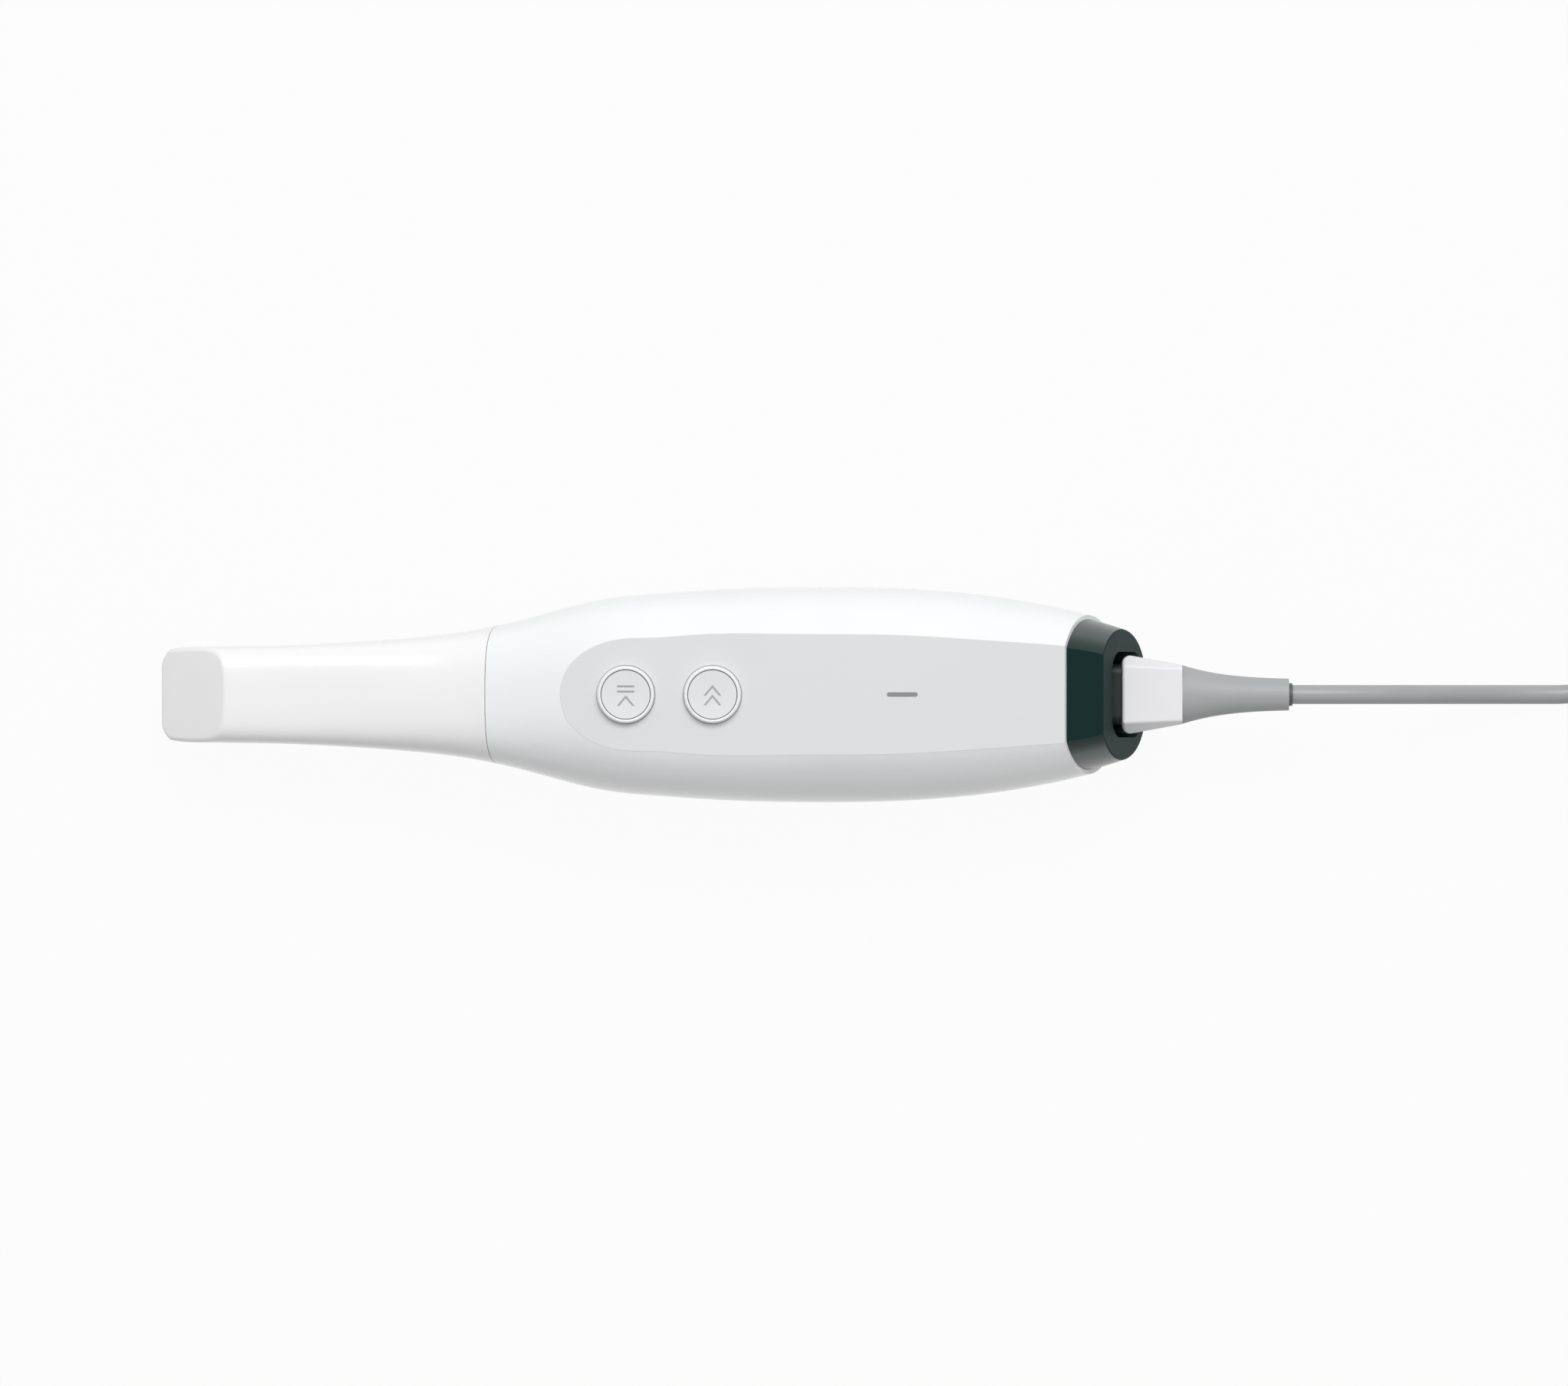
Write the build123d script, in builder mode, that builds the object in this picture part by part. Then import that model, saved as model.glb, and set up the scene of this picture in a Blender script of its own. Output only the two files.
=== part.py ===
from build123d import *
import os
from math import cos, pi, radians, sin, sqrt, tan
from typing import NamedTuple

# Wired intraoral scanner: a handpiece with a pull-off mirror tip, two push buttons and a plug-in cable.
# Millimetres, +Z up, +X from the mirror tip to the cable, with the buttons on top.
# The origin is under the middle of the handpiece, on the surface that its belly rests on.
# A place along the handpiece is a distance from the end of the tip.


class Section(NamedTuple):
    """One cross-section of the outer form, with its drop below the body's axis and how square it is."""

    width: float
    height: float
    drop: float
    squareness: float


# Outer form
HANDPIECE_LENGTH = 216.4
HEAD_WIDTH = 20.2
HEAD_HEIGHT = 15.8
HEAD_DROP = 2.3
NECK_WIDTH = 29.6
NECK_HEIGHT = 27.4
BODY_WIDTH = 47.3
BODY_HEIGHT = 45.8
REAR_WIDTH = 27.0
REAR_HEIGHT = 26.3
BELLY_CUT = 1.4
DECK_CUT = 2.9
DECK_RADIUS = 610.0
# Behind the tip's seam
SHOULDER = 15.9667
DECK_START = 15.1
DECK_APEX = 50.8
DECK_LEAD = 6.7

# Mirror tip
TIP_LENGTH = 74.2
SEAM_TILT = 11.7
SEAM_GAP = 0.15
BEVEL_LENGTH = 13.5
BEVEL_ANGLE = 42.0
HEAD_CORNER = 5.0
HEAD_EDGE = 1.2
TIP_CLEARANCE = 0.3
MIRROR_THICKNESS = 1.0
MIRROR_MARGIN = 1.3
MIRROR_CORNER = 2.0
SCAN_WINDOW_LENGTH = 12.0
SCAN_WINDOW_WIDTH = 14.4
SCAN_WINDOW_CORNER = 2.5

# Nose that the tip slides over
NOSE_GAP = 0.1
NOSE_LENGTH = 41.0
NOSE_WALL = 1.6
NOSE_SETBACK = 10.0
GLASS_THICKNESS = 1.5
GLASS_LEDGE = 0.8
GLASS_GAP = 0.05
SEAL_AHEAD = 9.0
SEAL_WIDTH = 2.2
SEAL_PROUD = 0.15
SEAL_DEPTH = 0.7

# Body shells
SHELL_WALL = 1.8
PARTING_RISE = 1.0
PARTING_GAP = 0.1
POST_RADIUS = 2.2
SCREW_RADIUS = 0.8
SCREW_REACH = 4.0
SCREW_HEAD_RADIUS = 1.7
SCREW_HEAD_HEIGHT = 1.1
SCREW_SOCKET = 0.8
SCREW_GAP = 0.1

# Buttons
FRONT_BUTTON = 13.1
BUTTON_PITCH = 18.9
BUTTON_RADIUS = 5.3
BUTTON_GAP = 0.15
BUTTON_RECESS = 0.15
BUTTON_DISH = 0.25
BUTTON_LEDGE = 0.9
BUTTON_FLANGE = 0.4
BUTTON_FLANGE_THICKNESS = 0.7
BUTTON_STEM_RADIUS = 2.4
BUTTON_REACH = 2.8
BUTTON_TRAVEL = 0.6
BEZEL_RADIUS = 6.4
BEZEL_RIM = 0.6
BEZEL_RISE = 1.8
BEZEL_EDGE = 0.25
BEZEL_SINK = 0.35
BEZEL_FIT = 0.05
BEZEL_FLANGE = 1.0
BEZEL_FLANGE_THICKNESS = 0.8
BEZEL_SEAT = 0.5

# Switches, button board and status light
PLUNGER_RADIUS = 1.6
PLUNGER_DEPTH = 1.5
PLUNGER_SPARE = 0.4
SWITCH_SIDE = 6.0
SWITCH_BASE = 0.8
BOARD_THICKNESS = 1.2
BUTTON_BOARD_LEAD = 6.5
BUTTON_BOARD_WIDTH = 19.0
BOARD_POST_SPREAD = 7.2
BOARD_POST_INSET = 17.35
# Behind the middle of the run from the rear button to the cap
STATUS_LIGHT = 2.95
STATUS_LENGTH = 6.7
STATUS_WIDTH = 0.95
STATUS_FIT = 0.05
STATUS_FLANGE = 0.9
STATUS_FLANGE_THICKNESS = 0.8
LED_LENGTH = 3.0
LED_WIDTH = 1.4
LED_HEIGHT = 0.8
LED_GAP = 0.2

# Optics and their frame
OPTIC_DROP = 1.0
BULKHEAD_THICKNESS = 3.0
FRAME_DROP = 9.0
FRAME_PLATE = 2.0
FRAME_WIDTH = 22.0
FRAME_RIB = 1.5
FRAME_RIB_HEIGHT = 1.5
FRAME_POST_SPREAD = 7.0
FRAME_POST_INSET = 12.0
OPTIC_FIT = 0.05
PROJECTOR_RADIUS = 5.0
PROJECTOR_LENGTH = 28.0
PROJECTOR_OVERHANG = 6.0
CAMERA_RADIUS = 3.4
CAMERA_LENGTH = 16.0
CAMERA_OVERHANG = 4.0
CAMERA_SPREAD = 9.6
BARREL_WALL = 0.8
LENS_THICKNESS = 1.6
LENS_DOME = 0.7
LENS_SEAT = 1.0
SENSOR_BOARD_WIDTH = 27.0
SENSOR_BOARD_HEIGHT = 14.5
LIGHT_ENGINE_LENGTH = 16.0
LIGHT_ENGINE_WIDTH = 17.0
LIGHT_ENGINE_CLEARANCE = 3.38
HEAT_SINK_LENGTH = 14.0
HEAT_SINK_BASE = 3.0
HEAT_SINK_FINS = 5
HEAT_SINK_FIN = 1.2

# Main board
MAIN_BOARD_THICKNESS = 1.6
MAIN_BOARD_WIDTH = 20.0
MAIN_BOARD_LEAD = 4.0
MAIN_BOARD_MARGIN = 9.0
STANDOFF_RADIUS = 2.0
STANDOFF_HEIGHT = 3.0
STANDOFF_INSET = 3.5
PROCESSOR_SIDE = 13.0
PROCESSOR_HEIGHT = 1.6

# Rear cap and socket
CAP_LENGTH = 18.2
CAP_TILT = 22.0
CAP_DEPTH = 7.1
CAP_STEP = 0.9
CAP_CORNER = 5.0
CAP_EDGE = 0.6
CAP_FIT = 0.1
SPIGOT_LENGTH = 4.5
RECESS_WIDTH = 18.8
RECESS_HEIGHT = 17.0
RECESS_CORNER = 4.5
RECESS_FLOOR = 6.6
SOCKET_WIDTH = 9.2
SOCKET_HEIGHT = 3.5
SOCKET_LENGTH = 8.0
SOCKET_WALL = 0.3
TONGUE_WIDTH = 6.6
TONGUE_HEIGHT = 0.7
TONGUE_LENGTH = 4.6

# Plug, strain relief and cable
PLUG_FIT = 0.1
PLUG_WALL = 0.3
PLUG_REACH = 6.0
PLUG_FLOOR_GAP = 0.5
PLUG_CORE_WIDTH = 13.4
PLUG_CORE_HEIGHT = 8.6
PLUG_CORE_LENGTH = 5.7
PLUG_CORE_CORNER = 2.0
PLUG_WIDTH = 17.8
PLUG_HEIGHT = 12.4
PLUG_TOP_WIDTH = 12.6
PLUG_SIDE_HEIGHT = 5.0
PLUG_LENGTH = 13.2
PLUG_END_WIDTH = 13.0
PLUG_END_HEIGHT = 10.0
PLUG_END_TOP_WIDTH = 11.4
PLUG_END_SIDE_HEIGHT = 7.6
PLUG_EDGE = 0.7
PLUG_CORNER = 1.8
RELIEF_LENGTH = 23.5
RELIEF_END_RADIUS = 3.5
# Shares of the relief's length, each with the share of its flare that is left there
RELIEF_FLARE = ((0, 1), (0.27, 0.47), (0.6, 0.14), (1, 0))
CABLE_RADIUS = 2.1
ARC_SHARE = 0.45

# Put-away length of the cable, with the plug at its far end
COIL_X = 240.0
COIL_Y = -12.0
COIL_TURN_RADIUS = 23.0
COIL_COLUMNS = 3
COIL_LAYERS = 4
TIE_WIDTH = 9.0
TIE_THICKNESS = 0.8
TIE_ANGLE = -60.0
FAR_RELIEF_LENGTH = 12.0
FAR_RELIEF_RADIUS = 3.0
FAR_PLUG_LENGTH = 22.0
FAR_PLUG_WIDTH = 12.0
FAR_PLUG_HEIGHT = 7.6
FAR_PLUG_EDGE = 1.6
FAR_SHELL_REACH = 6.5

# Places and heights that follow from the sizes above
axis_height = BODY_HEIGHT / 2 - BELLY_CUT
deck_top = axis_height + BODY_HEIGHT / 2 - DECK_CUT
head_top = axis_height - HEAD_DROP + HEAD_HEIGHT / 2
head_bottom = head_top - HEAD_HEIGHT
optic_height = axis_height - OPTIC_DROP
nose_inset = SHELL_WALL + NOSE_GAP
tip_wall = nose_inset - TIP_CLEARANCE
nose_front = TIP_LENGTH - NOSE_LENGTH
bulkhead_front = TIP_LENGTH + NOSE_SETBACK
bulkhead_rear = bulkhead_front + BULKHEAD_THICKNESS
cap_place = HANDPIECE_LENGTH - CAP_LENGTH
shoulder_place = TIP_LENGTH + SHOULDER
deck_start = TIP_LENGTH + DECK_START
deck_apex = TIP_LENGTH + DECK_APEX

FRONT_SECTIONS = (
    Section(HEAD_WIDTH - 0.3, HEAD_HEIGHT - 0.6, HEAD_DROP + 0.1, 0.90),
    Section(HEAD_WIDTH, HEAD_HEIGHT, HEAD_DROP, 0.90),
    Section(HEAD_WIDTH + 1.1, HEAD_HEIGHT + 0.8, HEAD_DROP - 0.2, 0.90),
    Section(HEAD_WIDTH + 2.2, HEAD_HEIGHT + 2.4, HEAD_DROP - 0.4, 0.89),
    Section(NECK_WIDTH - 4.8, NECK_HEIGHT - 5.4, HEAD_DROP - 1.0, 0.84),
    Section(NECK_WIDTH, NECK_HEIGHT, HEAD_DROP - 1.8, 0.76),
    Section(BODY_WIDTH - 8.5, BODY_HEIGHT - 7.0, -0.2, 0.67),
)
REAR_SECTIONS = (
    Section(BODY_WIDTH - 3.0, BODY_HEIGHT - 1.6, -0.1, 0.67),
    Section(BODY_WIDTH - 0.7, BODY_HEIGHT, 0.0, 0.65),
    Section(BODY_WIDTH, BODY_HEIGHT, 0.0, 0.605),
    Section(BODY_WIDTH - 0.6, BODY_HEIGHT - 1.2, 0.0, 0.575),
    Section(BODY_WIDTH - 3.5, BODY_HEIGHT - 4.7, 0.0, 0.57),
    Section(REAR_WIDTH + 10.7, REAR_HEIGHT + 10.4, 0.0, 0.585),
    Section(REAR_WIDTH, REAR_HEIGHT, 0.0, 0.62),
    Section(REAR_WIDTH - 12.0, REAR_HEIGHT - 11.7, 0.0, 0.62),
)
# One section stands ahead of the tip's end, one at the shoulder and one behind the rear end
front_pitch = shoulder_place / (len(FRONT_SECTIONS) - 2)
rear_pitch = (HANDPIECE_LENGTH - shoulder_place) / (len(REAR_SECTIONS) - 1)
section_places = [(index - 1) * front_pitch for index in range(len(FRONT_SECTIONS))]
section_places += [shoulder_place + (index + 1) * rear_pitch for index in range(len(REAR_SECTIONS))]


def at(place):
    """X of a place along the handpiece."""
    return place - HANDPIECE_LENGTH / 2


def deck_height(place):
    """Height of the deck's arc at a place along the handpiece."""
    return deck_top - DECK_RADIUS + sqrt(DECK_RADIUS**2 - (place - deck_apex) ** 2)


def form(inset):
    """The whole outer form, taken in by inset all round."""
    with BuildPart() as solid:
        for place, section in zip(section_places, FRONT_SECTIONS + REAR_SECTIONS):
            half_width = section.width / 2 - inset
            half_height = section.height / 2 - inset
            middle = axis_height - section.drop
            wide = section.squareness * half_width
            tall = section.squareness * half_height
            right, left = (half_width, middle), (-half_width, middle)
            top, bottom = (0, middle + half_height), (0, middle - half_height)
            with BuildSketch(Plane.YZ.offset(at(place))):
                with BuildLine():
                    Bezier(bottom, (wide, middle - half_height), (half_width, middle - tall), right)
                    Bezier(right, (half_width, middle + tall), (wide, middle + half_height), top)
                    Bezier(top, (-wide, middle + half_height), (-half_width, middle + tall), left)
                    Bezier(left, (-half_width, middle - tall), (-wide, middle - half_height), bottom)
                make_face()
        loft()
    return solid.part


def above_deck(depth):
    """Everything above the deck's arc, lowered by depth."""
    front, rear = deck_start - DECK_LEAD, HANDPIECE_LENGTH + rear_pitch
    corners = [(at(place), deck_height(place) - depth) for place in (front, deck_apex, rear)]
    with BuildPart() as solid:
        with BuildSketch(Plane.XZ):
            with BuildLine():
                ThreePointArc(*corners)
                Polyline(
                    corners[2], (corners[2][0], BODY_HEIGHT), (corners[0][0], BODY_HEIGHT), corners[0]
                )
            make_face()
        extrude(amount=BODY_WIDTH, both=True)
    return solid.part


def body(inset):
    """The outer form with its flat deck and belly, taken in by inset all round."""
    whole, cutter = form(inset), above_deck(inset)
    with BuildPart() as solid:
        add(whole)
        add(cutter, mode=Mode.SUBTRACT)
        split(bisect_by=Plane.XY.offset(inset), keep=Keep.TOP)
    return solid.part


def plan(end, other, end_width, other_width, corner):
    """An upright block with two round corners at its end, for rounding the form as seen from above."""
    with BuildPart() as solid:
        with BuildSketch():
            with BuildLine():
                Polyline(
                    (at(end), end_width / 2),
                    (at(other), other_width / 2),
                    (at(other), -other_width / 2),
                    (at(end), -end_width / 2),
                    close=True,
                )
            made = make_face()
            near = made.vertices().group_by(Axis.X)[0 if end < other else -1]
            fillet(near, radius=corner)
        extrude(amount=BODY_HEIGHT)
    return solid.part


def posts(points, low, high, inside):
    """Round posts between two heights, ending inside the given solid."""
    with BuildPart() as group:
        with BuildSketch(Plane.XY.offset(low)):
            with Locations(*points):
                Circle(POST_RADIUS)
        extrude(amount=high - low)
        add(inside, mode=Mode.INTERSECT)
    return group.part


def screws(points, seat, reach):
    """Pan-head screws with hexagon sockets, seated at a height, with shanks of a signed reach."""
    out = -1 if reach > 0 else 1
    with BuildPart() as group:
        with BuildSketch(Plane.XY.offset(seat)):
            with Locations(*points):
                Circle(SCREW_HEAD_RADIUS)
        extrude(amount=out * SCREW_HEAD_HEIGHT)
        with BuildSketch(Plane.XY.offset(seat)):
            with Locations(*points):
                Circle(SCREW_RADIUS)
        extrude(amount=reach)
        with BuildSketch(Plane.XY.offset(seat + out * SCREW_HEAD_HEIGHT)):
            with Locations(*points):
                RegularPolygon(SCREW_SOCKET, 6)
        extrude(amount=-out * SCREW_HEAD_HEIGHT / 2, mode=Mode.SUBTRACT)
    return group


def write(piece, name):
    """Label a finished piece and write its file."""
    piece.part.label = name
    export_step(piece.part, f"parts/{name}.step")


os.makedirs("parts", exist_ok=True)

seam = Plane(
    origin=(at(TIP_LENGTH), 0, axis_height),
    x_dir=(0, 1, 0),
    z_dir=(cos(radians(SEAM_TILT)), 0, sin(radians(SEAM_TILT))),
)
bevel = Plane(
    origin=(at(BEVEL_LENGTH), 0, head_top),
    x_dir=(0, 1, 0),
    z_dir=(-sin(radians(BEVEL_ANGLE)), 0, cos(radians(BEVEL_ANGLE))),
)
cap_front = Plane(
    origin=(at(cap_place), 0, deck_height(cap_place)),
    x_dir=(0, 1, 0),
    z_dir=(cos(radians(CAP_TILT)), 0, sin(radians(CAP_TILT))),
)

whole_form = form(0)
whole_body = body(0)
hollow = body(SHELL_WALL)
mid_wall = body(SHELL_WALL / 2)

# Mirror tip: a bevelled sleeve with a mirror behind its bevel and a scan window under the mirror
head_plan = plan(0, TIP_LENGTH, HEAD_WIDTH, BODY_WIDTH, HEAD_CORNER)
bore_plan = plan(
    tip_wall, TIP_LENGTH, HEAD_WIDTH - 2 * tip_wall, BODY_WIDTH, HEAD_CORNER - tip_wall
)
tip_hollow = form(tip_wall)
with BuildPart() as tip_bore:
    add(tip_hollow)
    add(bore_plan, mode=Mode.INTERSECT)
    split(bisect_by=bevel.offset(-tip_wall), keep=Keep.BOTTOM)

with BuildPart() as tip_sleeve:
    add(whole_form)
    add(head_plan, mode=Mode.INTERSECT)
    split(bisect_by=seam.offset(-SEAM_GAP / 2), keep=Keep.BOTTOM)
    split(bisect_by=bevel, keep=Keep.BOTTOM)
    head_edges = tip_sleeve.edges().filter_by_position(
        Axis.X, at(-HEAD_EDGE), at(BEVEL_LENGTH + 2 * HEAD_EDGE)
    )
    fillet(head_edges, HEAD_EDGE)
    add(tip_bore.part, mode=Mode.SUBTRACT)
    with BuildSketch():
        with Locations((at(BEVEL_LENGTH / 2 + tip_wall), 0)):
            RectangleRounded(SCAN_WINDOW_LENGTH, SCAN_WINDOW_WIDTH, SCAN_WINDOW_CORNER)
    extrude(amount=head_bottom + 2 * tip_wall, mode=Mode.SUBTRACT)
write(tip_sleeve, "tip_sleeve")

mirror_run = (BEVEL_LENGTH - tip_wall) / cos(radians(BEVEL_ANGLE))
mirror_face = Plane(
    origin=bevel.offset(-tip_wall).from_local_coords((0, mirror_run / 2, 0)),
    x_dir=(0, 1, 0),
    z_dir=bevel.z_dir,
)
with BuildPart() as tip_mirror:
    with BuildSketch(mirror_face):
        RectangleRounded(
            HEAD_WIDTH - 2 * tip_wall - 2 * MIRROR_MARGIN, mirror_run - 2 * MIRROR_MARGIN, MIRROR_CORNER
        )
    extrude(amount=-MIRROR_THICKNESS)
write(tip_mirror, "tip_mirror")

# Nose: the tube that carries the tip, with a glass at its front and a seal near its root
nose_outer = form(nose_inset)
nose_inner = form(nose_inset + NOSE_WALL)
glass_seat = form(nose_inset + NOSE_WALL - GLASS_LEDGE)
glass_form = form(nose_inset + NOSE_WALL - GLASS_LEDGE + GLASS_GAP)
seal_outer = form(nose_inset - SEAL_PROUD)
seal_inner = form(nose_inset + SEAL_DEPTH)
nose_face = Plane.YZ.offset(at(nose_front))
bulkhead_face = Plane.YZ.offset(at(bulkhead_front))
seal_front = Plane.YZ.offset(at(TIP_LENGTH - SEAL_AHEAD - SEAL_WIDTH))
seal_rear = Plane.YZ.offset(at(TIP_LENGTH - SEAL_AHEAD))

with BuildPart() as nose_seal:
    add(seal_outer)
    add(seal_inner, mode=Mode.SUBTRACT)
    split(bisect_by=seal_front, keep=Keep.TOP)
    split(bisect_by=seal_rear, keep=Keep.BOTTOM)
write(nose_seal, "nose_seal")

with BuildPart() as glass_pocket:
    add(glass_seat)
    split(bisect_by=nose_face, keep=Keep.TOP)
    split(bisect_by=nose_face.offset(GLASS_THICKNESS), keep=Keep.BOTTOM)

with BuildPart() as nose_tube:
    add(nose_outer)
    split(bisect_by=nose_face, keep=Keep.TOP)
    split(bisect_by=bulkhead_face, keep=Keep.BOTTOM)
    add(nose_inner, mode=Mode.SUBTRACT)
    add(glass_pocket.part, mode=Mode.SUBTRACT)
    add(nose_seal.part, mode=Mode.SUBTRACT)
write(nose_tube, "nose_tube")

with BuildPart() as nose_window:
    add(glass_form)
    split(bisect_by=nose_face, keep=Keep.TOP)
    split(bisect_by=nose_face.offset(GLASS_THICKNESS), keep=Keep.BOTTOM)
write(nose_window, "nose_window")

# Heights of the button stack, from the lower of the two buttons down to the button board
button_places = {"front": deck_start + FRONT_BUTTON, "rear": deck_start + FRONT_BUTTON + BUTTON_PITCH}
status_place = (button_places["rear"] + cap_place) / 2 + STATUS_LIGHT
plunger_rise = BUTTON_TRAVEL + PLUNGER_SPARE
plunger_hole = PLUNGER_DEPTH + BUTTON_TRAVEL + PLUNGER_SPARE / 2
switch_height = plunger_hole + SWITCH_BASE
stem_end = min(deck_height(place) for place in button_places.values()) - BUTTON_REACH
switch_top = stem_end - plunger_rise
board_top = switch_top - switch_height
board_front = deck_start + BUTTON_BOARD_LEAD
board_rear = status_place + BUTTON_BOARD_LEAD
board_posts = [
    (at(place), side * BOARD_POST_SPREAD)
    for place in (button_places["front"] + BUTTON_PITCH / 2, board_rear - BOARD_POST_INSET)
    for side in (-1, 1)
]

# Frame under the optics, on four posts of the lower shell
frame_bottom = axis_height - FRAME_DROP - FRAME_PLATE
frame_top = axis_height - FRAME_DROP
frame_rear = cap_place - MAIN_BOARD_MARGIN
frame_posts = [
    (at(place), side * FRAME_POST_SPREAD)
    for place in (bulkhead_rear + FRAME_POST_INSET, frame_rear - FRAME_POST_INSET)
    for side in (-1, 1)
]

# Shells: an upper one with the deck and a lower one with the belly, parted just above the widest line
upper_posts = posts(board_posts, board_top, deck_top, mid_wall)
lower_posts = posts(frame_posts, 0, frame_bottom, mid_wall)
parting = Plane.XY.offset(axis_height + PARTING_RISE)

with BuildPart() as upper_shell:
    add(whole_body)
    add(hollow, mode=Mode.SUBTRACT)
    split(bisect_by=seam.offset(SEAM_GAP / 2), keep=Keep.TOP)
    split(bisect_by=cap_front, keep=Keep.BOTTOM)
    split(bisect_by=parting.offset(PARTING_GAP / 2), keep=Keep.TOP)
    add(upper_posts)
    with BuildSketch(Plane.XY.offset(board_top)):
        with Locations(*board_posts):
            Circle(SCREW_RADIUS + SCREW_GAP / 2)
    extrude(amount=SCREW_REACH, mode=Mode.SUBTRACT)
    with BuildSketch(Plane.XY.offset(board_top)):
        with Locations(*[(at(place), 0) for place in button_places.values()]):
            Circle(BEZEL_RADIUS + BEZEL_FIT)
        with Locations((at(status_place), 0)):
            SlotOverall(STATUS_LENGTH, STATUS_WIDTH)
    extrude(amount=BODY_HEIGHT, mode=Mode.SUBTRACT)
write(upper_shell, "upper_shell")

with BuildPart() as lower_shell:
    add(whole_body)
    add(hollow, mode=Mode.SUBTRACT)
    split(bisect_by=seam.offset(SEAM_GAP / 2), keep=Keep.TOP)
    split(bisect_by=cap_front, keep=Keep.BOTTOM)
    split(bisect_by=parting.offset(-PARTING_GAP / 2), keep=Keep.BOTTOM)
    add(lower_posts)
    with BuildSketch(Plane.XY.offset(frame_bottom)):
        with Locations(*frame_posts):
            Circle(SCREW_RADIUS + SCREW_GAP / 2)
    extrude(amount=-SCREW_REACH, mode=Mode.SUBTRACT)
write(lower_shell, "lower_shell")

# Push buttons: a bezel in the deck, a dished cap that it guides, and a switch that the cap presses
for side, place in button_places.items():
    deck = deck_height(place)
    upright = Plane(origin=(at(place), 0, 0), x_dir=(1, 0, 0), z_dir=(0, -1, 0))
    centre = Axis((at(place), 0, 0), (0, 0, 1))
    bore = BUTTON_RADIUS + BUTTON_GAP
    wide_bore = BUTTON_RADIUS + BUTTON_FLANGE + BUTTON_GAP
    bezel_seat = deck - SHELL_WALL - BEZEL_SEAT
    with BuildPart() as bezel:
        with BuildSketch(upright):
            with BuildLine():
                Polyline(
                    (bore, deck + BEZEL_RISE),
                    (bore + BEZEL_RIM, deck + BEZEL_RISE),
                    (BEZEL_RADIUS, deck - BEZEL_SINK),
                    (BEZEL_RADIUS, bezel_seat),
                    (BEZEL_RADIUS + BEZEL_FLANGE, bezel_seat),
                    (BEZEL_RADIUS + BEZEL_FLANGE, bezel_seat - BEZEL_FLANGE_THICKNESS),
                    (wide_bore, bezel_seat - BEZEL_FLANGE_THICKNESS),
                    (wide_bore, deck - BUTTON_LEDGE),
                    (bore, deck - BUTTON_LEDGE),
                    close=True,
                )
            rim = make_face().vertices().group_by(Axis.Y)[-1]
            fillet(rim, radius=BEZEL_EDGE)
        revolve(axis=centre)
    write(bezel, f"{side}_bezel")

    crown = deck + BEZEL_RISE - BUTTON_RECESS
    flange_top = deck - BUTTON_LEDGE - BUTTON_GAP
    flange_bottom = flange_top - BUTTON_FLANGE_THICKNESS
    with BuildPart() as button_cap:
        with BuildSketch(upright):
            with BuildLine():
                TangentArc((0, crown - BUTTON_DISH), (BUTTON_RADIUS, crown), tangent=(1, 0))
                Polyline(
                    (BUTTON_RADIUS, crown),
                    (BUTTON_RADIUS, flange_top),
                    (BUTTON_RADIUS + BUTTON_FLANGE, flange_top),
                    (BUTTON_RADIUS + BUTTON_FLANGE, flange_bottom),
                    (BUTTON_STEM_RADIUS, flange_bottom),
                    (BUTTON_STEM_RADIUS, stem_end),
                    (0, stem_end),
                    (0, crown - BUTTON_DISH),
                )
            make_face()
        revolve(axis=centre)
    write(button_cap, f"{side}_button_cap")

    with BuildPart() as plunger:
        with BuildSketch(Plane.XY.offset(stem_end)):
            with Locations((at(place), 0)):
                Circle(PLUNGER_RADIUS)
        extrude(amount=-plunger_rise - PLUNGER_DEPTH)
    write(plunger, f"{side}_switch_plunger")

    with BuildPart() as switch_case:
        with BuildSketch(Plane.XY.offset(board_top)):
            with Locations((at(place), 0)):
                RectangleRounded(SWITCH_SIDE, SWITCH_SIDE, SWITCH_BASE)
        extrude(amount=switch_height)
        with BuildSketch(Plane.XY.offset(switch_top)):
            with Locations((at(place), 0)):
                Circle(PLUNGER_RADIUS + BUTTON_GAP)
        extrude(amount=-plunger_hole, mode=Mode.SUBTRACT)
    write(switch_case, f"{side}_switch_case")

# Button board, hung from the deck's posts, with the status light's lamp and light guide
with BuildPart() as button_board:
    with BuildSketch(Plane.XY.offset(board_top)):
        with Locations((at((board_front + board_rear) / 2), 0)):
            RectangleRounded(board_rear - board_front, BUTTON_BOARD_WIDTH, BOARD_THICKNESS)
        with Locations(*board_posts):
            Circle(SCREW_RADIUS + SCREW_GAP, mode=Mode.SUBTRACT)
    extrude(amount=-BOARD_THICKNESS)
write(button_board, "button_board")

board_screws = screws(board_posts, board_top - BOARD_THICKNESS, SCREW_REACH)
write(board_screws, "board_screws")

with BuildPart() as status_lamp:
    with BuildSketch(Plane.XY.offset(board_top)):
        with Locations((at(status_place), 0)):
            Rectangle(LED_LENGTH, LED_WIDTH)
    extrude(amount=LED_HEIGHT)
write(status_lamp, "status_lamp")

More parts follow.
